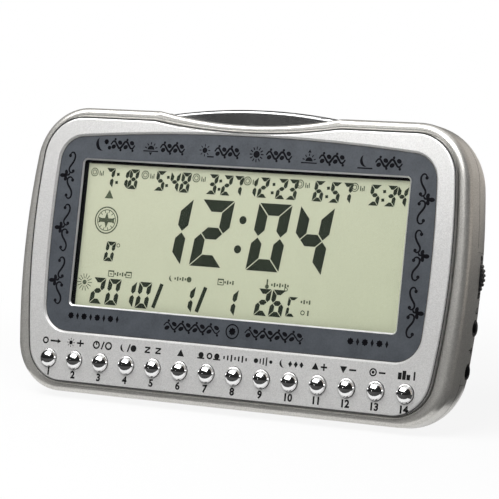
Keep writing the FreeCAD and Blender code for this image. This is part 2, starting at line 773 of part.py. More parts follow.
def make_back_cover(outer, shell):
    bay = bay_sizes()
    blocks = [
        box("cover_bay", (bay["left"] + " - bayWall", bay["right"] + " + bayWall"),
            (bay["low"] + " - bayWall", bay["high"] + " + bayWall"),
            ("-backFace - wall", bay["floor"] + " + bayFloor")),
        box("cover_recess", ("-legHalfWidth - legGap - recessWall", "legHalfWidth + legGap + recessWall"),
            ("-caseBottom", "legRow + legHeel + legGap + recessWall"),
            ("-backFace - wall", "-backFace + recessDepth + bayFloor")),
        box("cover_bar_bed", ("-barHalfWidth - barFlange - barGap - shelfWall",
                              "barHalfWidth + barFlange + barGap + shelfWall"),
            ("shelfTop - shelfWall", "caseTop"),
            ("-seamDepth - barDepth - 2*barGap - shelfWall", "-seamDepth - wall")),
    ]
    blocks += [rod("cover_post_%d" % i, x, y, "-seamDepth - pillowRadius", "casePostRadius",
                   "seamDepth + pillowRadius - casePostFront") for i, (x, y) in enumerate(screw_spots())]
    speaker_ring = rod("cover_speaker_ring", "speakerAcross", "-speakerRow", "-backFace + wall/2",
                       "speakerRadius + speakerRim", "wall/2 + speakerRim")
    blocks.append(speaker_ring)
    inside = common("cover_blocks", fuse("cover_all_blocks", *blocks), outer)
    whole = fuse("cover_whole", shell, inside)
    tools = [tab_block("cover_tab_room", "seamGap")]
    tools.append(box("cover_bay_room", (bay["left"], bay["right"]), (bay["low"], bay["high"]),
                     ("-backFace - wall", bay["floor"])))
    lap = " - doorLap - doorGap", " + doorLap + doorGap"
    tools.append(box("cover_door_room", (bay["left"] + lap[0], bay["right"] + lap[1]),
                     (bay["low"] + lap[0], bay["high"] + lap[1]),
                     ("-backFace - wall", "-backFace + doorThick")))
    tools.append(box("cover_leg_room", ("-legHalfWidth - legGap", "legHalfWidth + legGap"),
                     ("-caseBottom - wall", "legRow + legHeel + legGap"),
                     ("-backFace - wall", "-backFace + recessDepth")))
    tools.append(rod("cover_pin_hole", "-legHalfWidth - legGap - recessWall/2", "legRow", "-hingeDeep",
                     "pinRadius", "2*legHalfWidth + 2*legGap + recessWall", axis="x"))
    tools.append(box("cover_bar_room", ("-barHalfWidth - barGap", "barHalfWidth + barGap"),
                     ("shelfTop", "caseTop + barRise"),
                     ("-seamDepth - barDepth - 2*barGap", "-seamDepth + wall")))
    tools.append(box("cover_flange_room",
                     ("-barHalfWidth - barFlange - barGap", "barHalfWidth + barFlange + barGap"),
                     ("shelfTop", "barFoot + barFlangeTall + barGap"),
                     ("-seamDepth - barFlangeDepth - 2*barGap", "-seamDepth + wall")))
    tools += [rod("cover_sink_%d" % i, x, y, "-seamDepth - pillowRadius - wall", "headRadius + fitGap",
                  "seamDepth + pillowRadius + wall - caseSinkDepth") for i, (x, y) in enumerate(screw_spots())]
    tools += [rod("cover_bolt_hole_%d" % i, x, y, "-caseSinkDepth - wall", "screwRadius + fitGap",
                  "caseSinkDepth - casePostFront + 2*wall") for i, (x, y) in enumerate(screw_spots())]
    tools.append(rod("cover_speaker_seat", "speakerAcross", "-speakerRow", "-backFace + wall",
                     "speakerRadius + fitGap", "2*speakerRim"))
    tools += grille_slots()
    tools += [foot_rod("cover_foot_room_%d" % i, side, "fitGap", "footTall", "footTall")
              for i, side in enumerate(("-", ""))]
    cover = cut("cover_finished", whole, *tools)
    return place(cover, "back_cover")


def grille_slots():
    """Level slots through the back wall, each as long as the round opening is there."""
    count = int(value("grilleRadius/grillePitch"))
    slots = []
    for step in range(-count, count + 1):
        up = "(%d*grillePitch - speakerRow)" % step
        half = "sqrt(grilleRadius^2 - (%d*grillePitch)^2)" % step
        slots.append(box("cover_grille_%d" % (step + count),
                         ("speakerAcross - " + half, "speakerAcross + " + half),
                         (up + " - grilleSlot/2", up + " + grilleSlot/2"),
                         ("-backFace - wall", "-backFace + 2*wall")))
    return slots


def foot_rod(label, side, gap, top, tall):
    """An upright cylinder on the desk, drawn in the leaning face frame."""
    foot = add("Part::Cylinder", label)
    foot.Placement = FreeCAD.Placement(FreeCAD.Vector(), FreeCAD.Rotation(FreeCAD.Vector(1, 0, 0), 90))
    low = "((%s) - (%s))" % (top, tall)
    bind(foot, Radius="footRadius + " + gap, Height=tall, Placement_Base_x=side + "footAcross",
         Placement_Base_y="footBack*sin(tilt) + (%s - lift)*cos(tilt)" % low,
         Placement_Base_z="0 - footBack*cos(tilt) + (%s - lift)*sin(tilt)" % low)
    foot.setExpression("Placement.Rotation.Angle", bound("tilt - 90"))
    return foot


def make_feet():
    feet = [foot_rod("foot_%d" % i, side, "0", "footTall", "footTall") for i, side in enumerate(("-", ""))]
    return place(group("feet", *feet), "front_feet")


# ---------------------------------------------------------------- front panel and display

def key_spots():
    return [("(%g*keyPitch)" % (number - (keyCount - 1) / 2), "-keyRow") for number in range(keyCount)]


def board_spots():
    """Screws that hold the main board to the posts of the front panel."""
    return [("-postAcross", "postTop"), ("postAcross", "postTop"), ("-postAcross", "-postLow"),
            ("postAcross", "-postLow"), ("-postInner", "-postRow"), ("postInner", "-postRow")]


def make_panel():
    base = slab("panel_base", panelOutline, "-grooveDrop", "0")
    doc.recompute()
    rounded = add("Part::Fillet", "panel_rounded")
    rounded.Base = base
    radius = value("panelRound")
    rounded.Edges = [(i, radius, radius) for i, e in enumerate(base.Shape.Edges, start=1) if level(0)(e)]
    posts = [rod("panel_post_%d" % i, x, y, "-boardDrop", "postRadius", "boardDrop - grooveDrop")
             for i, (x, y) in enumerate(board_spots())]
    whole = fuse("panel_whole", rounded, *posts)
    seat = slab("panel_plate_seat", grown(plateOutline, "plateGap"), "-plateDrop - plateThick", "0")
    doc.recompute()
    tools = [seat, panel_bevel()]
    tools.append(box("panel_opening", ("-viewWidth/2 - lipWidth", "viewWidth/2 + lipWidth"),
                     ("-viewHeight/2 - lipWidth", "viewHeight/2 + lipWidth"), ("-grooveDrop", "0")))
    tools.append(box("panel_lens_seat",
                     ("-viewWidth/2 - lensMargin - fitGap", "viewWidth/2 + lensMargin + fitGap"),
                     ("-viewHeight/2 - lensMargin - fitGap", "viewHeight/2 + lensMargin + fitGap"),
                     ("-grooveDrop - wall", "-grooveDrop + lensThick")))
    tools += [rod("panel_key_hole_%02d" % (i + 1), x, y, "-grooveDrop - wall", "keyRadius + keyHoleGap",
                  "grooveDrop + 2*wall") for i, (x, y) in enumerate(key_spots())]
    tools += [rod("panel_pilot_%d" % i, x, y, "-boardDrop - wall", "screwRadius + screwGap",
                  "boardScrewLong + wall") for i, (x, y) in enumerate(board_spots())]
    return place(cut("panel_finished", whole, *tools), "front_panel")


def panel_bevel():
    """Sloping lip that leads from the panel down to the printed plate."""
    low = level_sketch("panel_bevel_low", grown(plateOutline, "plateGap"), "-plateDrop")
    high = level_sketch("panel_bevel_high", grown(plateOutline, "(plateGap + plateBevel*2)"), "plateDrop")
    bevel = add("Part::Loft", "panel_bevel")
    bevel.Sections = [low, high]
    bevel.Solid = True
    bevel.Ruled = True
    return bevel


def make_plate():
    base = slab("plate_base", plateOutline, "-plateDrop - plateThick", "-plateDrop")
    window = box("plate_window", ("-viewWidth/2", "viewWidth/2"), ("-viewHeight/2", "viewHeight/2"),
                 ("-plateDrop - 2*plateThick", "0"))
    doc.recompute()
    rounded = add("Part::Fillet", "plate_window_rounded")
    rounded.Base = window
    radius = value("viewCorner")
    rounded.Edges = [(i, radius, radius) for i, e in enumerate(window.Shape.Edges, start=1) if along(2)(e)]
    return place(cut("plate_finished", base, rounded), "bezel_plate")


def make_display():
    across = "viewWidth/2"
    up = "viewHeight/2"
    lens = box("lens", ("-%s - lensMargin" % across, across + " + lensMargin"),
               ("-%s - lensMargin" % up, up + " + lensMargin"), ("-grooveDrop", "-grooveDrop + lensThick"))
    place(lens, "display_lens")
    glass = box("glass", ("-%s - glassMargin" % across, across + " + glassMargin"),
                ("-%s - glassMargin" % up, up + " + glassMargin"), ("-glassDrop - glassThick", "-glassDrop"))
    place(glass, "lcd_glass")
    behind = "(0 - glassDrop - glassThick)"
    light = box("light", ("-%s" % across, across), ("-%s + lightInset" % up, up + " - lightInset"),
                (behind + " - lightThick", behind))
    place(light, "backlight_panel")
    room = " + glassMargin + fitGap"
    side = room + " + holderWall"
    block = box("holder_block", ("0 - (%s%s)" % (across, side), across + side),
                ("0 - (%s%s)" % (up, side), up + side), ("-boardDrop", "-grooveDrop"))
    hollow = box("holder_room", ("0 - (%s%s)" % (across, room), across + room),
                 ("0 - (%s%s)" % (up, room), up + room), ("-boardDrop - wall", "0"))
    place(cut("holder", block, hollow), "lcd_holder")
    for name, low, high in (("lower", "0 - %s - glassMargin + stripInset" % up,
                             "0 - %s - glassMargin + stripInset + stripThick" % up),
                            ("upper", "%s + glassMargin - stripInset - stripThick" % up,
                             "%s + glassMargin - stripInset" % up)):
        strip = box("strip_" + name, ("stripShort - " + across, across + " - stripShort"), (low, high),
                    ("-boardDrop", behind))
        place(strip, "contact_strip_" + name)


# ---------------------------------------------------------------- main board

def make_board():
    rear = "-boardDrop - boardThick"
    body = add("PartDesign::Body", "board")
    sketch = body_sketch(body, "board_outline", offset=rear)
    draw_loop(sketch, [("-boardHalfWidth", "-boardBottom"), ("boardHalfWidth", "-boardBottom"),
                       ("boardHalfWidth", "-tongueBottom"), ("tongueReach", "-tongueBottom"),
                       ("tongueReach", "tongueTop"), ("boardHalfWidth", "tongueTop"),
                       ("boardHalfWidth", "boardTop"), ("-boardHalfWidth", "boardTop")])
    pad(body, sketch, "board_pad", "boardThick")
    holes = [rod("board_hole_%d" % i, x, y, rear + " - wall", "screwRadius + fitGap", "boardThick + 2*wall")
             for i, (x, y) in enumerate(board_spots())]
    place(cut("board_finished", body, *holes), "main_board")

    chips = {"clock_chip": ("chipWide", "chipTall", "-chipAcross", "chipRow"),
             "sound_chip": ("soundWide", "soundTall", "soundAcross", "-soundRow")}
    for name, (wide, tall, x, y) in chips.items():
        chip = box(name + "_block", ("%s - %s/2" % (x, wide), "%s + %s/2" % (x, wide)),
                   ("%s - %s/2" % (y, tall), "%s + %s/2" % (y, tall)), (rear + " - chipThick", rear))
        place(chip, name)
    crystal = rod("crystal", "chipWide - chipAcross", "chipRow", rear + " - crystalRadius", "crystalRadius",
                  "crystalLong", axis="x")
    place(crystal, "clock_crystal")
    cans = [rod("can_%d" % i, "capacitorAcross + %d*capacitorPitch" % i, "-capacitorRow",
                rear + " - capacitorTall", "capacitorRadius", "capacitorTall") for i in range(3)]
    place(group("cans", *cans), "capacitors")

    switches = []
    for i, (x, y) in enumerate(key_spots()):
        case = box("switch_%02d" % (i + 1), (x + " - switchSide/2", x + " + switchSide/2"),
                   (y + " - switchSide/2", y + " + switchSide/2"), ("-boardDrop", "-boardDrop + switchTall"))
        plunger = rod("plunger_%02d" % (i + 1), x, y, "-boardDrop + switchTall - plungerTall",
                      "plungerRadius", "2*plungerTall")
        switches.append(fuse("key_switch_%02d" % (i + 1), case, plunger))
    place(group("switches", *switches), "key_switches")
    for node, spots, head, long in (("board_screws", board_spots(), rear, "boardScrewLong"),
                                    ("case_screws", screw_spots(), "-caseSinkDepth", "caseScrewLong")):
        screws = []
        for i, (x, y) in enumerate(spots):
            shank = rod("%s_shank_%d" % (node, i), x, y, head, "screwRadius", long)
            cap = rod("%s_head_%d" % (node, i), x, y, head + " - headTall", "headRadius", "headTall")
            slot = cut("%s_cap_%d" % (node, i), cap, *cross_slots("%s_slot_%d" % (node, i), x, y, head))
            screws.append(fuse("%s_%d" % (node, i), shank, slot))
        place(group(node + "_all", *screws), node)


def cross_slots(label, x, y, head):
    """The crossed driver slots in a screw's head."""
    low = head + " - headTall"
    half = "driverSlotLong/2"
    thin = "driverSlotWide/2"
    return [box(label + "_wide", ("%s - %s" % (x, half), "%s + %s" % (x, half)),
                ("%s - %s" % (y, thin), "%s + %s" % (y, thin)), (low, low + " + driverSlotDeep")),
            box(label + "_tall", ("%s - %s" % (x, thin), "%s + %s" % (x, thin)),
                ("%s - %s" % (y, half), "%s + %s" % (y, half)), (low, low + " + driverSlotDeep"))]


def make_keys():
    """Domed caps; a flange behind the panel keeps each one in its hole."""
    for number, (x, y) in enumerate(key_spots(), start=1):
        key = add("PartDesign::Body", "key_%02d" % number)
        sketch = body_sketch(key, "key_profile_%02d" % number, "XZ_Plane")
        seat = "0 - grooveDrop - keySeatGap"
        stem = "keyTravel + plungerTall + switchTall - boardDrop + runningGap"
        corners = [("0", stem), ("keyStemRadius", stem), ("keyStemRadius", seat + " - keyFlangeThick"),
                   ("keyRadius + keyFlange", seat + " - keyFlangeThick"), ("keyRadius + keyFlange", seat),
                   ("keyRadius", seat), ("keyRadius", "keyShoulder"), ("0", "keyShoulder + keyDome")]
        spots = [(value(a), value(b)) for a, b in corners]
        ball = "((keyRadius^2 + keyDome^2)/(2*keyDome))"
        centre = (0.0, value("keyShoulder + keyDome - " + ball))
        sketch.addGeometry([line(spots[i], spots[i + 1]) for i in range(6)], False)
        sketch.addGeometry([arc(centre, value(ball), spots[6], spots[7]), line(spots[7], spots[0])], False)
        for i, (a, b) in enumerate(corners[:7]):
            tie(sketch, "DistanceX", -1, 1, i, 1, name="across%d" % i, size=a)
            tie(sketch, "DistanceY", -1, 1, i, 1, name="up%d" % i, size=b)
            tie(sketch, "Coincident", i, 2, i + 1, 1)
        tie(sketch, "Coincident", 7, 2, 0, 1)
        tie(sketch, "PointOnObject", 6, 3, -2)
        tie(sketch, "DistanceY", -1, 1, 7, 1, name="crown", size="keyShoulder + keyDome")
        turn = key.newObject("PartDesign::Revolution", "key_turn_%02d" % number)
        turn.Profile = sketch
        turn.ReferenceAxis = (sketch, ["V_Axis"])
        turn.Angle = 360
        key.Tip = turn
        place(key, "button_%02d" % number, y=y)
        bind(key, Placement_Base_x=x)


# ---------------------------------------------------------------- light bar

def bar_blank():
    """Lens-shaped front of the bar: straight foot and sides under a shallow arch."""
    sketch = add("Sketcher::SketchObject", "bar_outline")
    bind(sketch, Placement_Base_z="0 - seamDepth - barDepth - barGap")
    arch = "((barHalfWidth^2 + barRise^2)/(2*barRise))"
    half, foot, shoulder = value("barHalfWidth"), value("barFoot"), value("caseTop")
    centre = (0.0, value("caseTop + barRise - " + arch))
    sketch.addGeometry([line((-half, foot), (half, foot)), line((half, foot), (half, shoulder)),
                        arc(centre, value(arch), (half, shoulder), (-half, shoulder)),
                        line((-half, shoulder), (-half, foot))], False)
    for here, after in ((0, 1), (1, 2), (2, 3), (3, 0)):
        tie(sketch, "Coincident", here, 2, after, 1)
    corners = ((0, "left", "0 - barHalfWidth", "barFoot"), (1, "right", "barHalfWidth", "barFoot"),
               (2, "rightTop", "barHalfWidth", "caseTop"), (3, "leftTop", "0 - barHalfWidth", "caseTop"))
    for geo, name, x, y in corners:
        tie(sketch, "DistanceX", -1, 1, geo, 1, name=name + "Across", size=x)
        tie(sketch, "DistanceY", -1, 1, geo, 1, name=name + "Up", size=y)
    tie(sketch, "Radius", 2, name="arch", size=arch)
    front = add("Part::Extrusion", "bar_front")
    front.Base = sketch
    front.DirMode = "Custom"
    front.Dir = FreeCAD.Vector(0, 0, 1)
    front.Solid = True
    bind(front, LengthFwd="barDepth")
    return front


def make_bar():
    front = bar_blank()
    profile = add("Sketcher::SketchObject", "bar_profile")
    profile.Placement = FreeCAD.Placement(FreeCAD.Vector(), FreeCAD.Rotation(FreeCAD.Vector(1, 1, 1), 120))
    bind(profile, Placement_Base_x="0 - barHalfWidth")
    near = "0 - seamDepth - barGap"
    far = "0 - seamDepth - barGap - barDepth"
    crown = "caseTop + barRise"
    heel = "caseTop + barRise - pillowRadius + sqrt(pillowRadius^2 - (barDepth + barGap)^2)"
    corners = [("barFoot", near), (crown, near), (heel, far), ("barFoot", far)]
    spots = [(value(a), value(b)) for a, b in corners]
    centre = (value(crown + " - pillowRadius"), value(near))
    profile.addGeometry([line(spots[0], spots[1]), arc(centre, value("pillowRadius"), spots[2], spots[1]),
                         line(spots[2], spots[3]), line(spots[3], spots[0])], False)
    tie(profile, "Coincident", 0, 2, 1, 2)
    tie(profile, "Coincident", 1, 1, 2, 1)
    tie(profile, "Coincident", 2, 2, 3, 1)
    tie(profile, "Coincident", 3, 2, 0, 1)
    tie(profile, "Radius", 1, name="curve", size="pillowRadius")
    held = ((0, 1, corners[0], "foot"), (0, 2, corners[1], "crown"), (2, 2, corners[3], "rear"))
    for geo, end, (a, b), name in held:
        tie(profile, "DistanceX", -1, 1, geo, end, name=name + "Up", size=a)
        tie(profile, "DistanceY", -1, 1, geo, end, name=name + "Deep", size=b)
    tie(profile, "DistanceX", -1, 1, 2, 1, name="heelUp", size=heel)
    side = add("Part::Extrusion", "bar_side")
    side.Base = profile
    side.DirMode = "Custom"
    side.Dir = FreeCAD.Vector(1, 0, 0)
    side.Solid = True
    bind(side, LengthFwd="2*barHalfWidth")
    blank = common("bar_blank", front, side)
    doc.recompute()
    rounded = add("Part::Fillet", "bar_rounded")
    rounded.Base = blank
    radius = value("barRound")
    low = value("barFoot") + radius
    rounded.Edges = [(i, radius, radius) for i, e in enumerate(blank.Shape.Edges, start=1)
                     if e.CenterOfMass.y > low and max(v.Y for v in e.Vertexes) > low + radius
                     and not along(1)(e)]
    flange = box("bar_flange", ("-barHalfWidth - barFlange", "barHalfWidth + barFlange"),
                 ("barFoot", "barFoot + barFlangeTall"),
                 ("-seamDepth - barGap - barFlangeDepth", "-seamDepth - barGap"))
    hollow = box("bar_hollow", ("-barHalfWidth + barWall", "barHalfWidth - barWall"),
                 ("barFoot - barWall", "barFoot + barFlangeTall + barWall/2"),
                 (far + " + barWall", near + " - barWall"))
    post = rod("bar_post", "0", "barFoot", "0 - seamDepth - barGap - barDepth/2", "plungerRadius + barWall/2",
               "barFlangeTall + barWall", axis="y")
    shell = cut("bar_shell", fuse("bar_whole", rounded, flange), hollow)
    place(fuse("bar_finished", shell, post), "snooze_bar")

    middle = "0 - seamDepth - barGap - barDepth/2"
    board_top = "shelfTop + barBoardThick"
    board = box("bar_board_plate", ("-barBoardWidth/2", "barBoardWidth/2"), ("shelfTop", board_top),
                (middle + " - barBoardDepth/2", middle + " + barBoardDepth/2"))
    place(board, "snooze_board")
    body = box("bar_switch_case", ("-switchSide/2", "switchSide/2"),
               (board_top, board_top + " + barSwitchTall"),
               (middle + " - switchSide/2", middle + " + switchSide/2"))
    plunger = rod("bar_switch_plunger", "0", board_top + " + barSwitchTall - barPlungerTall", middle,
                  "plungerRadius", "2*barPlungerTall", axis="y")
    place(fuse("bar_switch", body, plunger), "snooze_switch")


# ---------------------------------------------------------------- right side

def make_wheel():
    centre = ("wheelReach - wheelRadius", "-wheelRow")
    wheel = add("PartDesign::Body", "wheel")
    sketch = body_sketch(wheel, "wheel_round", offset="-wheelDrop - wheelThick")
    sketch.addGeometry([Part.Circle(FreeCAD.Vector(), FreeCAD.Vector(0, 0, 1), value(r))
                        for r in ("wheelRadius", "axleRadius + runningGap")], False)
    for geo, (name, size) in enumerate((("rim", "wheelRadius"), ("bore", "axleRadius + runningGap"))):
        tie(sketch, "Coincident", geo, 3, -1, 1)
        tie(sketch, "Radius", geo, name=name, size=size)
    pad(wheel, sketch, "wheel_disc", "wheelThick")
    doc.recompute()
    notch = body_sketch(wheel, "wheel_notch", offset="-wheelDrop")
    notch.addGeometry(Part.Circle(FreeCAD.Vector(value("wheelRadius"), 0, 0), FreeCAD.Vector(0, 0, 1),
                                  value("wheelKnurl")), False)
    tie(notch, "PointOnObject", 0, 3, -1)
    tie(notch, "DistanceX", -1, 1, 0, 3, name="rim", size="wheelRadius")
    tie(notch, "Radius", 0, name="notch", size="wheelKnurl")
    groove = pocket(wheel, notch, "wheel_groove", "wheelThick")
    doc.recompute()
    ring = wheel.newObject("PartDesign::PolarPattern", "wheel_grooves")
    ring.Originals = [groove]
    ring.Axis = (notch, ["N_Axis"])
    ring.Angle = 360
    ring.Occurrences = wheelNotches
    wheel.Tip = ring
    place(wheel, "volume_wheel", y=centre[1])
    bind(wheel, Placement_Base_x=centre[0])

    can = rod("pot_can", *centre, "-boardDrop - boardThick - potTall", "potRadius", "potTall")
    axle = rod("pot_axle", *centre, "-wheelDrop - wheelThick - runningGap - axleHeadThick", "axleRadius",
               "wheelThick + runningGap + axleHeadThick + wheelDrop - boardDrop - boardThick")
    head = rod("pot_head", *centre, "-wheelDrop - wheelThick - 2*runningGap - axleHeadThick", "axleHead",
               "axleHeadThick")
    place(fuse("pot_whole", can, axle, head), "volume_pot")


def make_sockets():
    rear = "-boardDrop - boardThick"
    rows = (("earphone_jack", "phoneRow", "phoneFront", "phoneReach", "phoneBore"),
            ("dc_jack", "powerRow", "powerFront", "powerReach", "powerBore"))
    for name, at, front, reach, bore in rows:
        block = box(name + "_block", (front + " - socketDeep", front),
                    ("-%s - socketWidth/2" % at, "-%s + socketWidth/2" % at), (rear + " - socketTall", rear))
        nose = rod(name + "_nose", front + " - socketDeep/2", "-" + at, "-socketDrop", "noseRadius",
                   "%s - %s + socketDeep/2" % (reach, front), axis="x")
        hole = rod(name + "_bore", reach + " - socketBoreDeep", "-" + at, "-socketDrop", bore,
                   "socketBoreDeep + wall", axis="x")
        socket = cut(name + "_open", fuse(name + "_whole", block, nose), hole)
        if name == "dc_jack":
            pin = rod("dc_pin", reach + " - socketBoreDeep - wall/2", "-" + at, "-socketDrop", "powerPin",
                      "socketBoreDeep - wall/2", axis="x")
            socket = fuse("dc_with_pin", socket, pin)
        place(socket, name)


# ---------------------------------------------------------------- batteries

def bay_sizes():
    """Room for two cells side by side, with the contacts above and below them."""
    half = "(2*cellRadius + cellGap/2 + cellGap)"
    return {"left": "(0 - bayMid - %s)" % half, "right": "(%s - bayMid)" % half,
            "low": "(0 - bayRow - cellLength/2 - contactRoom)",
            "high": "(cellLength/2 + contactRoom - bayRow)",
            "floor": "(0 - backFace + doorThick + 2*cellRadius + 2*cellGap)"}


def make_batteries():
    bay = bay_sizes()
    deep = "0 - backFace + doorThick + cellGap + cellRadius"
    springs = []
    plates = []
    for name, side, up in (("left", "-", True), ("right", "+", False)):
        x = "(0 - bayMid %s (cellRadius + cellGap/2))" % side
        low = "(0 - bayRow - cellLength/2)"
        can_long = "(cellLength - cellNub)"
        can = rod("cell_can_" + name, x, low if up else low + " + cellNub", deep, "cellRadius", can_long,
                  axis="y")
        nub = rod("cell_nub_" + name, x, low + " + " + can_long if up else low, deep, "cellNubRadius",
                  "cellNub", axis="y")
        place(fuse("cell_" + name, can, nub), "battery_" + name)
        plus = bay["high"] if up else bay["low"]
        minus = bay["low"] if up else bay["high"]
        plates.append(contact_plate("contact_plus_" + name, x, deep, plus, up))
        plates.append(contact_plate("contact_minus_" + name, x, deep, minus, not up))
        springs.append(contact_spring(name, x, deep, minus, up))
    place(group("contacts", *plates), "battery_contacts")
    place(group("springs", *springs), "battery_springs")

    door = box("door_plate", (bay["left"] + " - doorLap", bay["right"] + " + doorLap"),
               (bay["low"] + " - doorLap", bay["high"] + " + doorLap"),
               ("-backFace", "-backFace + doorThick"))
    grip = bay["low"] + " + %d*doorGripPitch"
    ribs = [box("door_rib_%d" % i, ("-bayMid - doorGripWidth/2", "-bayMid + doorGripWidth/2"),
                (grip % i, grip % i + " + doorGripPitch/2"),
                ("-backFace - doorThick/2", "-backFace + doorGripDeep")) for i in range(1, 5)]
    place(cut("door_finished", door, *ribs), "battery_door")


def contact_plate(label, x, deep, end, at_top):
    low, high = (end + " - contactThick", end) if at_top else (end, end + " + contactThick")
    return box(label, (x + " - contactHalf", x + " + contactHalf"), (low, high),
               (deep + " - contactHalf", deep + " + contactHalf"))


def contact_spring(name, x, deep, end, from_below):
    """Cone spring, pressed between its plate and the flat end of the cell."""
    spring = add("Part::Cone", "spring_" + name)
    start = end + " + contactThick" if from_below else end + " - contactThick"
    angle = -90 if from_below else 90
    spring.Placement = FreeCAD.Placement(FreeCAD.Vector(), FreeCAD.Rotation(FreeCAD.Vector(1, 0, 0), angle))
    bind(spring, Radius1="springFoot", Radius2="springRadius", Height="contactRoom - contactThick",
         Placement_Base_x=x, Placement_Base_y=start, Placement_Base_z=deep)
    return spring


# ---------------------------------------------------------------- speaker

def make_speaker():
    seat = "0 - backFace + wall"
    spot = ("speakerAcross", "-speakerRow")
    basket = cut("speaker_basket", rod("speaker_can", *spot, seat, "speakerRadius", "speakerDeep"),
                 rod("speaker_room", *spot, seat, "speakerRadius - speakerRim", "speakerDeep - coneThick*2"))
    place(basket, "speaker_frame")
    magnet = rod("magnet", *spot, seat + " + speakerDeep", "magnetRadius", "magnetDeep")
    place(magnet, "speaker_magnet")
    outer = add("Part::Cone", "cone_outer")
    inner = add("Part::Cone", "cone_inner")
    for cone, lift_off in ((outer, "coneThick"), (inner, "0")):
        bind(cone, Radius1="speakerRadius - speakerRim", Radius2="coneNeck", Height="speakerDeep - coneThick*3",
             Placement_Base_x=spot[0], Placement_Base_y=spot[1], Placement_Base_z=seat + " + " + lift_off)
    place(cut("cone_paper", outer, inner), "speaker_cone")


# ---------------------------------------------------------------- leg

def make_leg():
    """Folded flat it lies in the recess of the back; it is placed opened on its stop."""
    face = "0 - hingeSink"
    plate = box("leg_plate", ("-legHalfWidth", "legHalfWidth"), ("0 - legLength", "0"),
                (face, face + " + legThick"))
    doc.recompute()
    rounded = add("Part::Fillet", "leg_rounded")
    rounded.Base = plate
    radius = value("legCorner")
    rounded.Edges = [(i, radius, radius) for i, e in enumerate(plate.Shape.Edges, start=1)
                     if along(2)(e) and e.CenterOfMass.y < -value("legCorner")]
    knuckle = rod("leg_knuckle", "-legHalfWidth", "0", "0", "legKnuckle", "2*legHalfWidth", axis="x")
    stop = "((recessDepth - hingeSink - runningGap - legHeel*sin(legOpen))/cos(legOpen))"
    heel = box("leg_heel", ("-legHalfWidth", "legHalfWidth"), ("0", "legHeel"), ("0 - legKnuckle/2", stop))
    bore = rod("leg_bore", "-legHalfWidth - legGap", "0", "0", "pinRadius + runningGap",
               "2*legHalfWidth + 2*legGap", axis="x")
    pads = [rod(name, "padInset - legHalfWidth", "0 - legLength", "0", "padRadius",
                "2*(legHalfWidth - padInset)", axis="x") for name in ("leg_groove", "pad_strip")]
    grooved = cut("leg_grooved", rounded, pads[0])
    leg = cut("leg_finished", fuse("leg_whole", grooved, knuckle, heel), bore)
    place(leg, "stand_leg", turn="legOpen", y="legRow", z="0 - hingeDeep")
    place(pads[1], "stand_pad", turn="legOpen", y="legRow", z="0 - hingeDeep")
    pin = rod("pin_rod", "-legHalfWidth - legGap - recessWall/2", "legRow", "0 - hingeDeep", "pinRadius",
              "2*legHalfWidth + 2*legGap + recessWall", axis="x")
    place(pin, "stand_pin")


# ---------------------------------------------------------------- whole clock

outer_pillow = pillow("pillow_outer", "0")
pillow_shell = cut("pillow_shell", outer_pillow, pillow("pillow_inner", "wall"))
make_front_frame()
make_panel()
make_plate()
make_display()
make_board()
make_keys()
make_bar()
make_wheel()
make_sockets()
make_batteries()
make_speaker()
make_leg()
make_feet()
make_back_cover(outer_pillow, pillow_shell)
doc.recompute()

faults = [obj.Label for obj in doc.Objects if "Invalid" in obj.State or "Error" in obj.State]
faults += [obj.Label for obj in parts
           if obj.Shape.isNull() or not obj.Shape.isValid() or not obj.Shape.Solids]
if faults:
    raise SystemExit("failed pieces: " + ", ".join(faults))

os.makedirs("parts", exist_ok=True)
for obj in parts:
    obj.Shape.exportStep(os.path.join("parts", obj.Label + ".step"))
    print("%-22s %2d solids %10.1f mm3" % (obj.Label, len(obj.Shape.Solids), obj.Shape.Volume))
print("%d pieces" % len(parts))
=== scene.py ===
import math

import bpy
from mathutils import Matrix, Vector


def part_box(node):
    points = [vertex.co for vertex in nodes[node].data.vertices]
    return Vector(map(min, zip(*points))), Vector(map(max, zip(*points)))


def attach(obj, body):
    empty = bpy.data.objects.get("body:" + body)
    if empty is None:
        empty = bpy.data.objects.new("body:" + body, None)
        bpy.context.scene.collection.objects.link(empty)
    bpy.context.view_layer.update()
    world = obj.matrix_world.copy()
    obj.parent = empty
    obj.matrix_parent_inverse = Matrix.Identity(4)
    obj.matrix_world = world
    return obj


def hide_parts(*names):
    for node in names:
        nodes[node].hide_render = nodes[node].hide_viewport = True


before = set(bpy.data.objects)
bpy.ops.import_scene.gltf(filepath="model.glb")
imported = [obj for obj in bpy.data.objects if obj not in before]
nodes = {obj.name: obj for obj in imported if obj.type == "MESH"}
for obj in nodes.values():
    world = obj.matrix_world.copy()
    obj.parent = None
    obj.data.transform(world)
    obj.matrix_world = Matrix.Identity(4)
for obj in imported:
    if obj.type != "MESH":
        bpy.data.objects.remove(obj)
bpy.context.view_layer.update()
mm = 0.001
# points closer than this are welded into one, in metres
weldAt = {"cut": 0.000001, "mesh": 0.000002, "letter": 0.02 * mm}
print("frame loaded:", len(nodes), "nodes")


# the face leans back, so everything on it is drawn flat in mm and leaned into place afterwards
faceLean = {"tilt": 11.86, "glassMid": 4.6}
# how far the marks stand out from the plane of the face in mm; side and door count after their turn
heights = {"panel": -0.01, "plate": -0.81, "bevel": -0.95, "gasket": -2.28, "border": -3.48, "glass": -3.49,
           "side": 98, "door": 34.42}
glassLow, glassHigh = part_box("lcd_glass")
faceMatrix = (Matrix.Translation((glassLow + glassHigh) / 2)
              @ Matrix.Rotation(math.radians(90 - faceLean["tilt"]), 4, "X")
              @ Matrix.Translation((0, 0, faceLean["glassMid"] * mm)))


def deselectAll():
    for obj in list(bpy.context.selected_objects):
        obj.select_set(False)


def pick(*objs):
    deselectAll()
    for obj in objs:
        obj.select_set(True)
    bpy.context.view_layer.objects.active = objs[0]


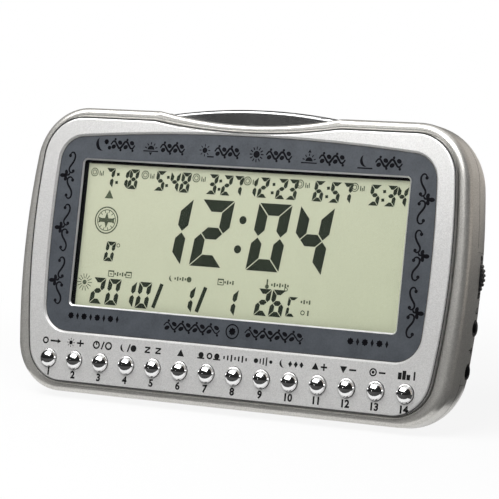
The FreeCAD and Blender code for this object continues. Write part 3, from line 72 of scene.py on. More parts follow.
def freeze(obj):
    pick(obj)
    bpy.ops.object.transform_apply(location=True, rotation=True, scale=True)
    return obj


def leanOnFace(obj):
    obj.matrix_world = faceMatrix @ obj.matrix_world
    return freeze(obj)


def joinAll(objs, name):
    pick(*objs)
    if len(objs) > 1:
        bpy.ops.object.join()
    whole = bpy.context.view_layer.objects.active
    whole.name = whole.data.name = name
    return whole


def copyOf(obj):
    twin = obj.copy()
    twin.data = obj.data.copy()
    bpy.context.scene.collection.objects.link(twin)
    return twin


def applyModifier(obj, kind, **settings):
    pick(obj)
    bpy.ops.object.modifier_add(type=kind)
    modifier = obj.modifiers[-1]
    for key, setting in settings.items():
        setattr(modifier, key, setting)
    bpy.ops.object.modifier_apply(modifier=modifier.name)
    return obj


def outward(obj):
    pick(obj)
    bpy.ops.object.mode_set(mode="EDIT")
    bpy.ops.mesh.select_all(action="SELECT")
    bpy.ops.mesh.remove_doubles(threshold=weldAt["mesh"])
    bpy.ops.mesh.normals_make_consistent(inside=False)
    bpy.ops.object.mode_set(mode="OBJECT")
    return obj


def dress(obj, material, body="root"):
    obj.data.materials.clear()
    obj.data.materials.append(material)
    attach(obj, body)
    return obj


# node helpers: words with underscores are the names of inputs with spaces

def addNode(tree, kind, **settings):
    made = tree.nodes.new(kind)
    for key, setting in settings.items():
        if hasattr(made, key):
            setattr(made, key, setting)
        else:
            made.inputs[key.replace("_", " ")].default_value = setting
    return made


def wire(tree, *pairs):
    for out, into in pairs:
        tree.links.new(out, into)


def startMaterial(name, **settings):
    material = bpy.data.materials.new(name)
    material.use_nodes = True
    tree = material.node_tree
    shader = tree.nodes["Principled BSDF"]
    for key, setting in settings.items():
        shader.inputs[key.replace("_", " ")].default_value = setting
    place = addNode(tree, "ShaderNodeTexCoord").outputs["Object"]
    return material, tree, shader, place


def startGroup(name, inputs, outputs):
    group = bpy.data.node_groups.new(name, "ShaderNodeTree")
    for label, kind, start in inputs:
        socket = group.interface.new_socket(label, in_out="INPUT", socket_type=kind)
        if start is not None:
            socket.default_value = start
    for label, kind in outputs:
        group.interface.new_socket(label, in_out="OUTPUT", socket_type=kind)
    inside = group.nodes.new("NodeGroupInput").outputs
    outside = group.nodes.new("NodeGroupOutput").inputs
    return group, inside, outside


def useGroup(tree, group, place, **settings):
    made = tree.nodes.new("ShaderNodeGroup")
    made.node_tree = group
    wire(tree, (place, made.inputs["Vector"]))
    for key, setting in settings.items():
        made.inputs[key.replace("_", " ")].default_value = setting
    return made.outputs


def grey(level, warm=0.0):
    return (level * (1 + warm), level, level * (1 - warm), 1)


grainLook = {"drift": 0.12, "middle": 0.5}


def makeGrainGroup():
    # metallic flakes and a slow drift of tone, as sprayed silver paint has
    group, inside, outside = startGroup(
        "sprayGrain",
        [("Vector", "NodeSocketVector", None), ("Dark", "NodeSocketColor", grey(0.5)),
         ("Light", "NodeSocketColor", grey(0.7)), ("Flake Scale", "NodeSocketFloat", 3200.0),
         ("Flake Share", "NodeSocketFloat", 0.5), ("Rough", "NodeSocketFloat", 0.35),
         ("Rough Spread", "NodeSocketFloat", 0.08)],
        [("Color", "NodeSocketColor"), ("Roughness", "NodeSocketFloat"),
         ("Height", "NodeSocketFloat")])
    flakes = addNode(group, "ShaderNodeTexVoronoi", feature="F1")
    fine = addNode(group, "ShaderNodeTexNoise", Detail=3.0, Roughness=0.6)
    slow = addNode(group, "ShaderNodeTexNoise", Scale=38.0, Detail=3.0)
    share = addNode(group, "ShaderNodeMix", data_type="FLOAT")
    tone = addNode(group, "ShaderNodeMix", data_type="RGBA")
    push = addNode(group, "ShaderNodeMapRange", From_Min=0.2, From_Max=0.8)
    drift = addNode(group, "ShaderNodeMath", operation="MULTIPLY_ADD")
    drift.inputs[1].default_value = grainLook["drift"]
    spread = addNode(group, "ShaderNodeMath", operation="SUBTRACT")
    spread.inputs[1].default_value = grainLook["middle"]
    rough = addNode(group, "ShaderNodeMath", operation="MULTIPLY_ADD")
    wire(group,
         (inside["Vector"], flakes.inputs["Vector"]), (inside["Flake Scale"], flakes.inputs["Scale"]),
         (inside["Vector"], fine.inputs["Vector"]), (inside["Flake Scale"], fine.inputs["Scale"]),
         (inside["Vector"], slow.inputs["Vector"]),
         (inside["Flake Share"], share.inputs["Factor"]), (fine.outputs["Fac"], share.inputs["A"]),
         (flakes.outputs["Color"], share.inputs["B"]), (share.outputs["Result"], push.inputs["Value"]),
         (slow.outputs["Fac"], drift.inputs[0]), (push.outputs["Result"], drift.inputs[2]),
         (drift.outputs["Value"], tone.inputs["Factor"]),
         (inside["Dark"], tone.inputs["A"]), (inside["Light"], tone.inputs["B"]),
         (tone.outputs["Result"], outside["Color"]),
         (slow.outputs["Fac"], spread.inputs[0]), (spread.outputs["Value"], rough.inputs[0]),
         (inside["Rough Spread"], rough.inputs[1]), (inside["Rough"], rough.inputs[2]),
         (rough.outputs["Value"], outside["Roughness"]), (share.outputs["Result"], outside["Height"]))
    return group


def makeMottleGroup():
    # two tones in soft patches with a fine tooth over them
    group, inside, outside = startGroup(
        "mottle",
        [("Vector", "NodeSocketVector", None), ("Dark", "NodeSocketColor", grey(0.05)),
         ("Light", "NodeSocketColor", grey(0.08)), ("Patch Scale", "NodeSocketFloat", 60.0),
         ("Tooth Scale", "NodeSocketFloat", 1500.0), ("Tooth Share", "NodeSocketFloat", 0.4)],
        [("Color", "NodeSocketColor"), ("Height", "NodeSocketFloat")])
    patch = addNode(group, "ShaderNodeTexNoise", Detail=4.0, Roughness=0.55)
    tooth = addNode(group, "ShaderNodeTexNoise", Detail=2.0)
    both = addNode(group, "ShaderNodeMix", data_type="FLOAT")
    push = addNode(group, "ShaderNodeMapRange", From_Min=0.3, From_Max=0.7)
    tone = addNode(group, "ShaderNodeMix", data_type="RGBA")
    wire(group,
         (inside["Vector"], patch.inputs["Vector"]), (inside["Patch Scale"], patch.inputs["Scale"]),
         (inside["Vector"], tooth.inputs["Vector"]), (inside["Tooth Scale"], tooth.inputs["Scale"]),
         (inside["Tooth Share"], both.inputs["Factor"]), (patch.outputs["Fac"], both.inputs["A"]),
         (tooth.outputs["Fac"], both.inputs["B"]), (both.outputs["Result"], push.inputs["Value"]),
         (push.outputs["Result"], tone.inputs["Factor"]),
         (inside["Dark"], tone.inputs["A"]), (inside["Light"], tone.inputs["B"]),
         (tone.outputs["Result"], outside["Color"]), (both.outputs["Result"], outside["Height"]))
    return group


grainGroup = makeGrainGroup()
mottleGroup = makeMottleGroup()


def paint(name, dark, light, rough, metallic, flakeScale=3200.0, flakeShare=0.5, bump=0.02, **settings):
    material, tree, shader, place = startMaterial(name, Metallic=metallic, **settings)
    grain = useGroup(tree, grainGroup, place, Dark=dark, Light=light, Flake_Scale=flakeScale,
                     Flake_Share=flakeShare, Rough=rough)
    lift = addNode(tree, "ShaderNodeBump", Strength=bump, Distance=0.00005)
    wire(tree, (grain["Color"], shader.inputs["Base Color"]),
         (grain["Roughness"], shader.inputs["Roughness"]),
         (grain["Height"], lift.inputs["Height"]), (lift.outputs["Normal"], shader.inputs["Normal"]))
    return material


def moulded(name, dark, light, rough, patchScale=60.0, toothScale=1500.0, toothShare=0.4, bump=0.15,
            **settings):
    material, tree, shader, place = startMaterial(name, Roughness=rough, **settings)
    mottle = useGroup(tree, mottleGroup, place, Dark=dark, Light=light, Patch_Scale=patchScale,
                      Tooth_Scale=toothScale, Tooth_Share=toothShare)
    lift = addNode(tree, "ShaderNodeBump", Strength=bump, Distance=0.00005)
    wire(tree, (mottle["Color"], shader.inputs["Base Color"]), (mottle["Height"], lift.inputs["Height"]),
         (lift.outputs["Normal"], shader.inputs["Normal"]))
    return material


# the halves of the case wear the same silver as the door and the leg, and get a seam line below
caseSilver = {"dark": (0.44, 0.43, 0.405, 1), "light": (0.66, 0.645, 0.61, 1), "rough": 0.32,
              "metallic": 0.75, "bump": 0.05}
casePaint = paint("casePaint", **caseSilver)
splitPaint = paint("splitPaint", **caseSilver)
panelPaint = paint("panelPaint", (0.60, 0.595, 0.585, 1), (0.80, 0.795, 0.785, 1), 0.34, 0.6, bump=0.05)
platePrint = moulded("platePrint", (0.030, 0.035, 0.042, 1), (0.054, 0.061, 0.071, 1), 0.5, patchScale=140.0,
                     bump=0.1, Specular_IOR_Level=0.3)
inkBlack = moulded("inkBlack", (0.002, 0.002, 0.003, 1), (0.005, 0.005, 0.007, 1), 0.6,
                   Specular_IOR_Level=0.05)
inkGrey = moulded("inkGrey", (0.005, 0.005, 0.005, 1), (0.012, 0.012, 0.012, 1), 0.6, Specular_IOR_Level=0.1)
blackPlastic = moulded("blackPlastic", (0.012, 0.012, 0.013, 1), (0.028, 0.028, 0.03, 1), 0.48)
softRubber = moulded("softRubber", (0.02, 0.02, 0.02, 1), (0.05, 0.05, 0.048, 1), 0.8, bump=0.4)
boardGreen = moulded("boardGreen", (0.01, 0.07, 0.025, 1), (0.02, 0.16, 0.06, 1), 0.35, patchScale=420.0)
chipBlack = moulded("chipBlack", (0.012, 0.012, 0.012, 1), (0.03, 0.03, 0.03, 1), 0.6, bump=0.3)
conePaper = moulded("conePaper", (0.015, 0.015, 0.014, 1), (0.045, 0.043, 0.04, 1), 0.9, toothScale=2600.0,
                    bump=0.6)
milkyGuide = moulded("milkyGuide", (0.62, 0.65, 0.58, 1), (0.72, 0.75, 0.68, 1), 0.4)
ferrite = moulded("ferrite", (0.02, 0.02, 0.022, 1), (0.06, 0.06, 0.062, 1), 0.55, Metallic=0.3)
platedSteel = paint("platedSteel", grey(0.42), grey(0.62), 0.3, 1.0, flakeScale=900.0, flakeShare=0.1)
# pale silver for the window bevel: its paleness is a painted highlight of the light the plate's cut edge
# catches
bevelHighlight = paint("bevelHighlight", grey(0.74), grey(0.84), 0.3, 0.8, flakeScale=900.0, flakeShare=0.1)
barChrome = paint("barChrome", grey(0.28), grey(0.36), 0.2, 1.0, flakeScale=500.0, flakeShare=0.0, bump=0.01)
keyChrome = paint("keyChrome", grey(0.78), grey(0.88), 0.09, 1.0, flakeScale=400.0, flakeShare=0.0, bump=0.005)


seam = {"depth": -10.0, "width": 0.26, "tabLow": -41.0, "tabHigh": 5.0, "tabFrom": 80.0,
        "tone": (0.02, 0.02, 0.02, 1)}


def addSeamLine(material):
    # dark joint where the two halves of the case meet; it stops at the side tab, which has its own gap
    tree = material.node_tree
    shader = tree.nodes["Principled BSDF"]
    place = tree.nodes["Texture Coordinate"].outputs["Object"]
    flat = addNode(tree, "ShaderNodeMapping", vector_type="TEXTURE")
    flat.inputs["Location"].default_value = faceMatrix.to_translation()
    flat.inputs["Rotation"].default_value = faceMatrix.to_euler()
    axes = addNode(tree, "ShaderNodeSeparateXYZ")
    near = addNode(tree, "ShaderNodeMath", operation="COMPARE")
    near.inputs[1].default_value = seam["depth"] * mm
    near.inputs[2].default_value = seam["width"] / 2 * mm
    onTab = addNode(tree, "ShaderNodeMath", operation="COMPARE")
    onTab.inputs[1].default_value = (seam["tabLow"] + seam["tabHigh"]) / 2 * mm
    onTab.inputs[2].default_value = (seam["tabHigh"] - seam["tabLow"]) / 2 * mm
    right = addNode(tree, "ShaderNodeMath", operation="GREATER_THAN")
    right.inputs[1].default_value = seam["tabFrom"] * mm
    tab = addNode(tree, "ShaderNodeMath", operation="MULTIPLY")
    mask = addNode(tree, "ShaderNodeMath", operation="SUBTRACT", use_clamp=True)
    darken = addNode(tree, "ShaderNodeMix", data_type="RGBA")
    darken.inputs["B"].default_value = seam["tone"]
    color = shader.inputs["Base Color"].links[0].from_socket
    wire(tree, (place, flat.inputs["Vector"]), (flat.outputs["Vector"], axes.inputs["Vector"]),
         (axes.outputs["Z"], near.inputs[0]), (axes.outputs["Y"], onTab.inputs[0]),
         (axes.outputs["X"], right.inputs[0]), (onTab.outputs["Value"], tab.inputs[0]),
         (right.outputs["Value"], tab.inputs[1]), (near.outputs["Value"], mask.inputs[0]),
         (tab.outputs["Value"], mask.inputs[1]), (mask.outputs["Value"], darken.inputs["Factor"]),
         (color, darken.inputs["A"]), (darken.outputs["Result"], shader.inputs["Base Color"]))


addSeamLine(splitPaint)


def makeGlassTone():
    # a pale grey-green field, speckled all over, with painted light: a touch paler towards its lower right,
    # where the lamps fall off
    material, tree, shader, place = startMaterial("crystalField", Roughness=0.4)
    shader.inputs["Specular IOR Level"].default_value = 0.25
    low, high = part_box("lcd_glass")
    centred = addNode(tree, "ShaderNodeMapping")
    centred.inputs["Location"].default_value = (-low.x, 0, -low.z)
    slopes = addNode(tree, "ShaderNodeSeparateXYZ")
    # painted light: the two ramps make the field paler towards the lower right, against the lamps falling off
    # there
    across = addNode(tree, "ShaderNodeMapRange", From_Max=high.x - low.x, To_Min=0.0, To_Max=0.55)
    down = addNode(tree, "ShaderNodeMapRange", From_Min=high.z - low.z, From_Max=0.0, To_Min=0.0, To_Max=0.45)
    total = addNode(tree, "ShaderNodeMath", operation="ADD")
    speckle = useGroup(tree, mottleGroup, place, Dark=(0.93, 0.93, 0.93, 1), Light=(1, 1, 1, 1),
                       Patch_Scale=90.0, Tooth_Scale=1300.0, Tooth_Share=0.6)
    field = addNode(tree, "ShaderNodeMix", data_type="RGBA")
    field.inputs["A"].default_value = (0.398, 0.412, 0.304, 1)
    field.inputs["B"].default_value = (0.42, 0.447, 0.318, 1)
    tint = addNode(tree, "ShaderNodeMix", data_type="RGBA", blend_type="MULTIPLY")
    tint.inputs["Factor"].default_value = 1.0
    wire(tree, (place, centred.inputs["Vector"]), (centred.outputs["Vector"], slopes.inputs["Vector"]),
         (slopes.outputs["X"], across.inputs["Value"]), (slopes.outputs["Z"], down.inputs["Value"]),
         (across.outputs["Result"], total.inputs[0]), (down.outputs["Result"], total.inputs[1]),
         (total.outputs["Value"], field.inputs["Factor"]), (field.outputs["Result"], tint.inputs["A"]),
         (speckle["Color"], tint.inputs["B"]), (tint.outputs["Result"], shader.inputs["Base Color"]))
    return material


def makeClearPane():
    material, tree, shader, place = startMaterial("clearPane")
    wisps = useGroup(tree, mottleGroup, place, Dark=grey(0.02), Light=grey(0.06), Patch_Scale=25.0,
                     Tooth_Share=0.1)
    shader.inputs["Base Color"].default_value = (0.1, 0.105, 0.1, 1)
    shader.inputs["Alpha"].default_value = 0.035
    wire(tree, (wisps["Color"], shader.inputs["Roughness"]))
    return material


crystalField = makeGlassTone()
clearPane = makeClearPane()
crystalDark = moulded("crystalDark", (0.007, 0.011, 0.006, 1), (0.017, 0.024, 0.013, 1), 0.6, patchScale=260.0,
                      toothShare=0.6, bump=0.0, Specular_IOR_Level=0.1)
crystalFaint = moulded("crystalFaint", (0.03, 0.04, 0.022, 1), (0.075, 0.09, 0.055, 1), 0.6,
                       patchScale=900.0, bump=0.0, Specular_IOR_Level=0.1)


def makeCellSleeve():
    # plain dark sleeve with one pale band round the foot of the cell
    material, tree, shader, place = startMaterial("cellSleeve", Roughness=0.28, Metallic=0.2)
    low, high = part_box("battery_left")
    upwards = addNode(tree, "ShaderNodeSeparateXYZ")
    band = addNode(tree, "ShaderNodeValToRGB")
    share = addNode(tree, "ShaderNodeMapRange", From_Min=low.z, From_Max=high.z)
    band.color_ramp.interpolation = "CONSTANT"
    band.color_ramp.elements[0].color = (0.015, 0.016, 0.02, 1)
    band.color_ramp.elements[1].color = (0.35, 0.34, 0.30, 1)
    band.color_ramp.elements[1].position = 0.8
    wire(tree, (place, upwards.inputs["Vector"]), (upwards.outputs["Z"], share.inputs["Value"]),
         (share.outputs["Result"], band.inputs["Fac"]), (band.outputs["Color"], shader.inputs["Base Color"]))
    return material


cellSleeve = makeCellSleeve()
print("materials made")

# what each CAD node wears
coats = {
    splitPaint: ["front_frame", "back_cover"],
    casePaint: ["battery_door", "stand_leg"],
    panelPaint: ["front_panel"],
    platePrint: ["bezel_plate"],
    clearPane: ["display_lens"],
    crystalField: ["lcd_glass"],
    milkyGuide: ["backlight_panel"],
    blackPlastic: ["lcd_holder", "key_switches", "snooze_switch", "volume_wheel", "earphone_jack", "dc_jack"],
    chipBlack: ["clock_chip", "sound_chip", "capacitors"],
    softRubber: ["contact_strip_lower", "contact_strip_upper", "stand_pad", "front_feet"],
    boardGreen: ["main_board", "snooze_board"],
    platedSteel: ["clock_crystal", "board_screws", "case_screws", "volume_pot", "battery_contacts",
                  "battery_springs", "speaker_frame", "stand_pin"],
    ferrite: ["speaker_magnet"],
    conePaper: ["speaker_cone"],
    cellSleeve: ["battery_left", "battery_right"],
    barChrome: ["snooze_bar"],
    keyChrome: ["button_%02d" % number for number in range(1, 15)],
}
for coat, names in coats.items():
    for name in names:
        nodes[name].data.materials.clear()
        nodes[name].data.materials.append(coat)
print("nodes dressed")


# flat marks, in mm on the face

def disc(x, y, radius, sides=28):
    deselectAll()
    bpy.ops.mesh.primitive_circle_add(vertices=sides, radius=radius * mm, fill_type="NGON",
                                      location=(x * mm, y * mm, 0))
    return bpy.context.object


def oval(x, y, wide, high, turn=0.0):
    obj = disc(x, y, 0.5, 20)
    obj.scale = (wide, high, 1)
    obj.rotation_euler.z = math.radians(turn)
    return obj


def hoop(x, y, radius, width, sides=40):
    obj = disc(x, y, radius, sides)
    bpy.ops.object.mode_set(mode="EDIT")
    bpy.ops.mesh.select_all(action="SELECT")
    bpy.ops.mesh.inset(thickness=width * mm)
    bpy.ops.mesh.delete(type="FACE")
    bpy.ops.object.mode_set(mode="OBJECT")
    return obj


def stroke(x, y, wide, high, turn=0.0):
    deselectAll()
    bpy.ops.mesh.primitive_plane_add(size=1, location=(x * mm, y * mm, 0), rotation=(0, 0, math.radians(turn)))
    bpy.context.object.scale = (wide * mm, high * mm, 1)
    return bpy.context.object


def wedge(x, y, radius, turn=0.0):
    deselectAll()
    bpy.ops.mesh.primitive_circle_add(vertices=3, radius=radius * mm, fill_type="NGON",
                                      location=(x * mm, y * mm, 0), rotation=(0, 0, math.radians(turn)))
    return bpy.context.object


def lozenge(x, y, wide, high):
    obj = disc(x, y, 0.5, 4)
    obj.scale = (wide, high, 1)
    return obj


def crescent(x, y, radius, turn=0.0):
    obj = disc(x, y, radius, 32)
    for corner in obj.data.vertices:
        if corner.co.x > 0:
            corner.co.x *= -0.5
    obj.rotation_euler.z = math.radians(turn)
    return obj


def sun(x, y, radius, rays=8, core=0.45, ray=0.14):
    shapes = [disc(x, y, radius * core, 20)]
    long = 0.84 - core
    for step in range(rays):
        angle = 2 * math.pi * step / rays
        shapes.append(stroke(x + (1 - long / 2) * radius * math.cos(angle),
                             y + (1 - long / 2) * radius * math.sin(angle),
                             radius * long, radius * ray, math.degrees(angle)))
    return shapes


def halfSun(x, y, radius, rays=5):
    dome = disc(x, y, radius * 0.55, 24)
    for corner in dome.data.vertices:
        corner.co.y = max(corner.co.y, 0)
    shapes = [dome, stroke(x, y - radius * 0.22, radius * 2.4, radius * 0.16)]
    for step in range(rays):
        angle = math.pi * (step + 0.5) / rays
        shapes.append(stroke(x + 0.88 * radius * math.cos(angle), y + 0.88 * radius * math.sin(angle),
                             radius * 0.34, radius * 0.14, math.degrees(angle)))
    return shapes


def calendarSign(x, y):
    # small page with a bar across its head
    return [stroke(x, y + 0.95, 2.6, 0.55), stroke(x, y - 1.05, 2.6, 0.3), stroke(x - 1.15, y, 0.3, 2.2),
            stroke(x + 1.15, y, 0.3, 2.2), stroke(x, y - 0.15, 1.1, 0.4)]


def dashes(x, y, count):
    # a row of short bars, every second one taller, in place of words
    return [stroke(x + (step - (count - 1) / 2) * 1.1, y, 0.62, 1.5 if step % 2 else 0.8)
            for step in range(count)]


letterLook = {"sizePerHeight": 1.4, "swell": 0.00016}


def number(text, x, y, high):
    deselectAll()
    bpy.ops.object.text_add(location=(x * mm, y * mm, 0))
    obj = bpy.context.object
    obj.data.body = text
    obj.data.size = high * mm * letterLook["sizePerHeight"]
    obj.data.align_x = "CENTER"
    obj.data.align_y = "CENTER"
    obj.data.offset = letterLook["swell"]
    obj.data.resolution_u = 3
    pick(obj)
    bpy.ops.object.convert(target="MESH")
    bpy.ops.object.mode_set(mode="EDIT")
    bpy.ops.mesh.select_all(action="SELECT")
    bpy.ops.mesh.remove_doubles(threshold=weldAt["letter"])
    bpy.ops.object.mode_set(mode="OBJECT")
    return bpy.context.object


def setOn(obj, height, turn=0):
    # from flat on the ground to that height on the face, or with a turn on the side or the back
    freeze(obj)
    obj.location.z = height * mm
    freeze(obj)
    obj.rotation_euler.y = math.radians(turn)
    freeze(obj)
    return leanOnFace(obj)


def printMarks(shapes, name, height, material, thick=0.02, lines=(), turn=0, body="root", onto=None):
    # one thin closed layer that stands on the surface; lines have their own thickness
    marks = setOn(joinAll(shapes, name), height, turn)
    if onto:
        applyModifier(marks, "SHRINKWRAP", target=nodes[onto], wrap_method="PROJECT", use_project_x=True,
                      use_negative_direction=True, use_positive_direction=False)
    applyModifier(marks, "SOLIDIFY", thickness=thick * mm, offset=1.0)
    raised = [setOn(joinAll(lines, "lines"), height)] if lines else []
    return dress(joinAll([marks] + raised, name), material, body)


# display digits: seven mitred bars, cut from strips and copied

digitBars = {"0": "abcdef", "1": "bc", "2": "abged", "3": "abgcd", "4": "fgbc", "5": "afgcd",
             "6": "afgecd", "7": "abc", "8": "abcdefg", "9": "abcdfg", "c": "afed"}


def mitredBar(x, y, wide, high, cuts):
    deselectAll()
    bpy.ops.mesh.primitive_plane_add(size=1, location=(x * mm, y * mm, 0))
    bar = bpy.context.object
    bar.scale = (wide * mm, high * mm, 1)
    freeze(bar)
    bpy.ops.object.mode_set(mode="EDIT")
    for (px, py), (nx, ny) in cuts:
        bpy.ops.mesh.select_all(action="SELECT")
        bpy.ops.mesh.bisect(plane_co=(px * mm, py * mm, 0), plane_no=(nx, ny, 0), clear_outer=True)
    bpy.ops.object.mode_set(mode="OBJECT")
    return bar


def makeBars(look):
    # each mitre steps back by about a third of the gap, so that the bars don't touch
    wide, high, thick, gap = look["wide"], look["high"], look["stroke"], look["gap"]
    side, top, ease = wide / 2, high / 2, gap * 0.35

    def cut(x, y, nx, ny):
        return (x - nx * ease, y - ny * ease), (nx, ny)

    bars = {}
    for letter, flip in (("a", 1), ("d", -1)):
        bars[letter] = mitredBar(0, flip * (top - thick / 2), wide, thick,
                                 [cut(-side, flip * top, -1, -flip), cut(side, flip * top, 1, -flip)])
    for letter, across, flip in (("f", -1, 1), ("b", 1, 1), ("e", -1, -1), ("c", 1, -1)):
        bars[letter] = mitredBar(across * (side - thick / 2), flip * top / 2, thick, top,
                                 [cut(across * side, flip * top, -across, flip),
                                  cut(across * (side - thick / 2), 0, -1, -flip),
                                  cut(across * (side - thick / 2), 0, 1, -flip)])
    bars["g"] = mitredBar(0, 0, wide - thick, thick,
                          [cut(-side + thick / 2, 0, -1, 1), cut(-side + thick / 2, 0, -1, -1),
                           cut(side - thick / 2, 0, 1, 1), cut(side - thick / 2, 0, 1, -1)])
    return bars


def slanted(obj, slant, y):
    shear = Matrix(((1, slant, 0, -slant * y * mm), (0, 1, 0, 0), (0, 0, 1, 0), (0, 0, 0, 1)))
    freeze(obj)
    obj.data.transform(shear)
    return obj


def digits(look, places):
    # places: one (text, x, y) for each digit
    bars = makeBars(look)
    shapes = []
    for text, x, y in places:
        made = [copyOf(bars[letter]) for letter in digitBars[text]]
        for bar in made:
            bar.location = (x * mm, y * mm, 0)
        shapes.append(slanted(joinAll(made, "digit"), look["slant"], y))
    for bar in bars.values():
        bpy.data.objects.remove(bar)
    return shapes


# opening of the display: a narrow bevel, whose pale silver is a painted highlight of the plate's cut edge, a
# black gasket under it, and a black edge on the glass, whose wider bands at the top and on the left are painted
# shade
opening = {"wide": 138.0, "high": 56.5, "corner": 2.0, "bevel": 0.55, "bevelDrop": 0.5, "gasket": 0.16,
           "topShade": 1.6, "sideEdge": 0.5, "leftShade": 1.3, "bevelFit": 0.02, "gasketFit": 0.04, "lap": 0.6}


def roundedRing(wide, high, corner, band, drop=0.0):
    deselectAll()
    bpy.ops.mesh.primitive_plane_add(size=1, location=(0, 0, 0))
    ring = bpy.context.object
    ring.scale = (wide * mm, high * mm, 1)
    freeze(ring)
    bpy.ops.object.mode_set(mode="EDIT")
    bpy.ops.mesh.select_all(action="SELECT")
    bpy.ops.mesh.bevel(offset=corner * mm, segments=6, affect="VERTICES")
    bpy.ops.mesh.select_all(action="SELECT")
    bpy.ops.mesh.inset(thickness=band * mm)
    bpy.ops.transform.translate(value=(0, 0, -drop * mm))
    bpy.ops.mesh.delete(type="FACE")
    bpy.ops.object.mode_set(mode="OBJECT")
    return ring


# the bevel is real shape; its pale silver is a painted highlight of the cut edge
printMarks([roundedRing(opening["wide"] - opening["bevelFit"], opening["high"] - opening["bevelFit"],
                        opening["corner"], opening["bevel"], opening["bevelDrop"])],
           "window_bevel", heights["bevel"], bevelHighlight, thick=0.15)
printMarks([roundedRing(opening["wide"] - opening["gasketFit"], opening["high"] - opening["gasketFit"],
                        opening["corner"], opening["gasket"])],
           "window_gasket", heights["gasket"], blackPlastic, thick=0.95)
# a narrow black edge all round the glass, and wider black bands along the top and the left that are painted
# shade under those edges of the opening
printMarks([roundedRing(opening["wide"] + 2 * opening["lap"], opening["high"] + 2 * opening["lap"],
                        opening["corner"], opening["sideEdge"] + opening["lap"]),
            stroke(0, (opening["high"] - opening["topShade"]) / 2, opening["wide"], opening["topShade"]),
            stroke((opening["leftShade"] - opening["wide"]) / 2, 0, opening["leftShade"], opening["high"])],
           "lcd_border", heights["border"], inkBlack)
print("window edge done")

# dark joints: a bead follows the outer line of a node at a height on the face
jointLines = [{"name": "panel_joint", "node": "front_panel", "cut": -1.0, "lift": 0.75, "radius": 0.24},
              {"name": "plate_joint", "node": "bezel_plate", "cut": -1.3, "lift": 0.5, "radius": 0.15}]


def outerLine(node, cut, name):
    faceUp = faceMatrix.to_3x3() @ Vector((0, 0, 1))
    wireObj = bpy.data.objects.new(name, nodes[node].data.copy())
    bpy.context.scene.collection.objects.link(wireObj)
    pick(wireObj)
    bpy.ops.object.mode_set(mode="EDIT")
    bpy.ops.mesh.select_all(action="SELECT")
    bpy.ops.mesh.remove_doubles(threshold=weldAt["cut"])
    bpy.ops.mesh.select_all(action="SELECT")
    bpy.ops.mesh.bisect(plane_co=faceMatrix @ Vector((0, 0, cut * mm)), plane_no=faceUp, clear_inner=True,
                        clear_outer=True)
    bpy.ops.mesh.select_all(action="SELECT")
    bpy.ops.mesh.separate(type="LOOSE")
    bpy.ops.object.mode_set(mode="OBJECT")
    loops = sorted(bpy.context.selected_objects, key=lambda loop: loop.dimensions.x)
    for loop in loops[:-1]:
        bpy.data.objects.remove(loop)
    return loops[-1]


def bead(line, radius, name):
    pick(line)
    bpy.ops.object.convert(target="CURVE")
    line = bpy.context.view_layer.objects.active
    line.data.bevel_depth = radius * mm
    line.data.bevel_resolution = 1
    bpy.ops.object.convert(target="MESH")
    line = bpy.context.view_layer.objects.active
    line.name = line.data.name = name
    return outward(line)


for look in jointLines:
    made = bead(outerLine(look["node"], look["cut"], look["name"]), look["radius"], look["name"])
    made.location = faceMatrix.to_3x3() @ Vector((0, 0, look["lift"] * mm))
    dress(freeze(made), softRubber, "root")
print("joints done")

bigLook = {"wide": 13.7, "high": 24.9, "stroke": 4.4, "gap": 0.4, "slant": 0.13}
smallLook = {"wide": 4.1, "high": 7.5, "stroke": 1.45, "gap": 0.2, "slant": 0.13}
dateLook = {"wide": 5.5, "high": 9.9, "stroke": 1.85, "gap": 0.26, "slant": 0.13}
signLook = {"wide": 3.8, "high": 7.2, "stroke": 1.15, "gap": 0.2, "slant": 0.13}

bigShapes = digits(bigLook, [("1", -28.8, 3.0), ("2", -11.2, 3.1), ("0", 12.8, 3.1), ("4", 30.1, 3.1)])
bigShapes += [disc(1.3, 8.8, 1.5), disc(0.25, -2.05, 1.5)]
printMarks(bigShapes, "lcd_time", heights["glass"], crystalDark)
print("big digits done")

smallPlaces = [("7", -58.1, 21.4), ("1", -51.7, 21.4), ("8", -47.45, 21.4),
               ("5", -35.6, 21.4), ("4", -29.4, 21.3), ("8", -24.7, 21.3),
               ("3", -13.1, 21.3), ("2", -6.9, 21.2), ("7", -2.4, 21.2),
               ("1", 3.7, 21.2), ("2", 8.5, 21.2), ("2", 16.1, 21.1), ("3", 20.5, 21.1),
               ("6", 31.3, 21.1), ("5", 38.0, 21.0), ("7", 42.6, 21.0),
               ("5", 53.9, 20.9), ("3", 60.3, 20.9), ("4", 64.6, 20.9), ("0", -54.6, -6.4)]
smallDots = []
for x, y in ((-54.55, 21.3), (-32.5, 21.3), (-9.9, 21.1), (12.5, 21.0), (34.9, 20.8), (57.4, 20.8)):
    smallDots += [stroke(x + 0.2, y + 1.6, 1.15, 1.1, 8), stroke(x - 0.2, y - 1.5, 1.15, 1.1, 8)]
datePlaces = [("2", -58.2, -21.5), ("0", -51.4, -21.6), ("1", -44.5, -21.8), ("0", -37.9, -21.8),
              ("1", -19.0, -21.8), ("1", -0.8, -21.7), ("2", 12.9, -20.6), ("6", 18.9, -20.6)]
slashes = [stroke(-31.8, -21.6, 1.55, 9.6, -18), stroke(-13.0, -21.6, 1.55, 9.8, -18)]
printMarks(digits(smallLook, smallPlaces) + smallDots, "lcd_times", heights["glass"], crystalDark)
printMarks(digits(dateLook, datePlaces) + slashes + digits(signLook, [("c", 24.9, -21.4)]), "lcd_date",
           heights["glass"], crystalDark)
print("small digits done")

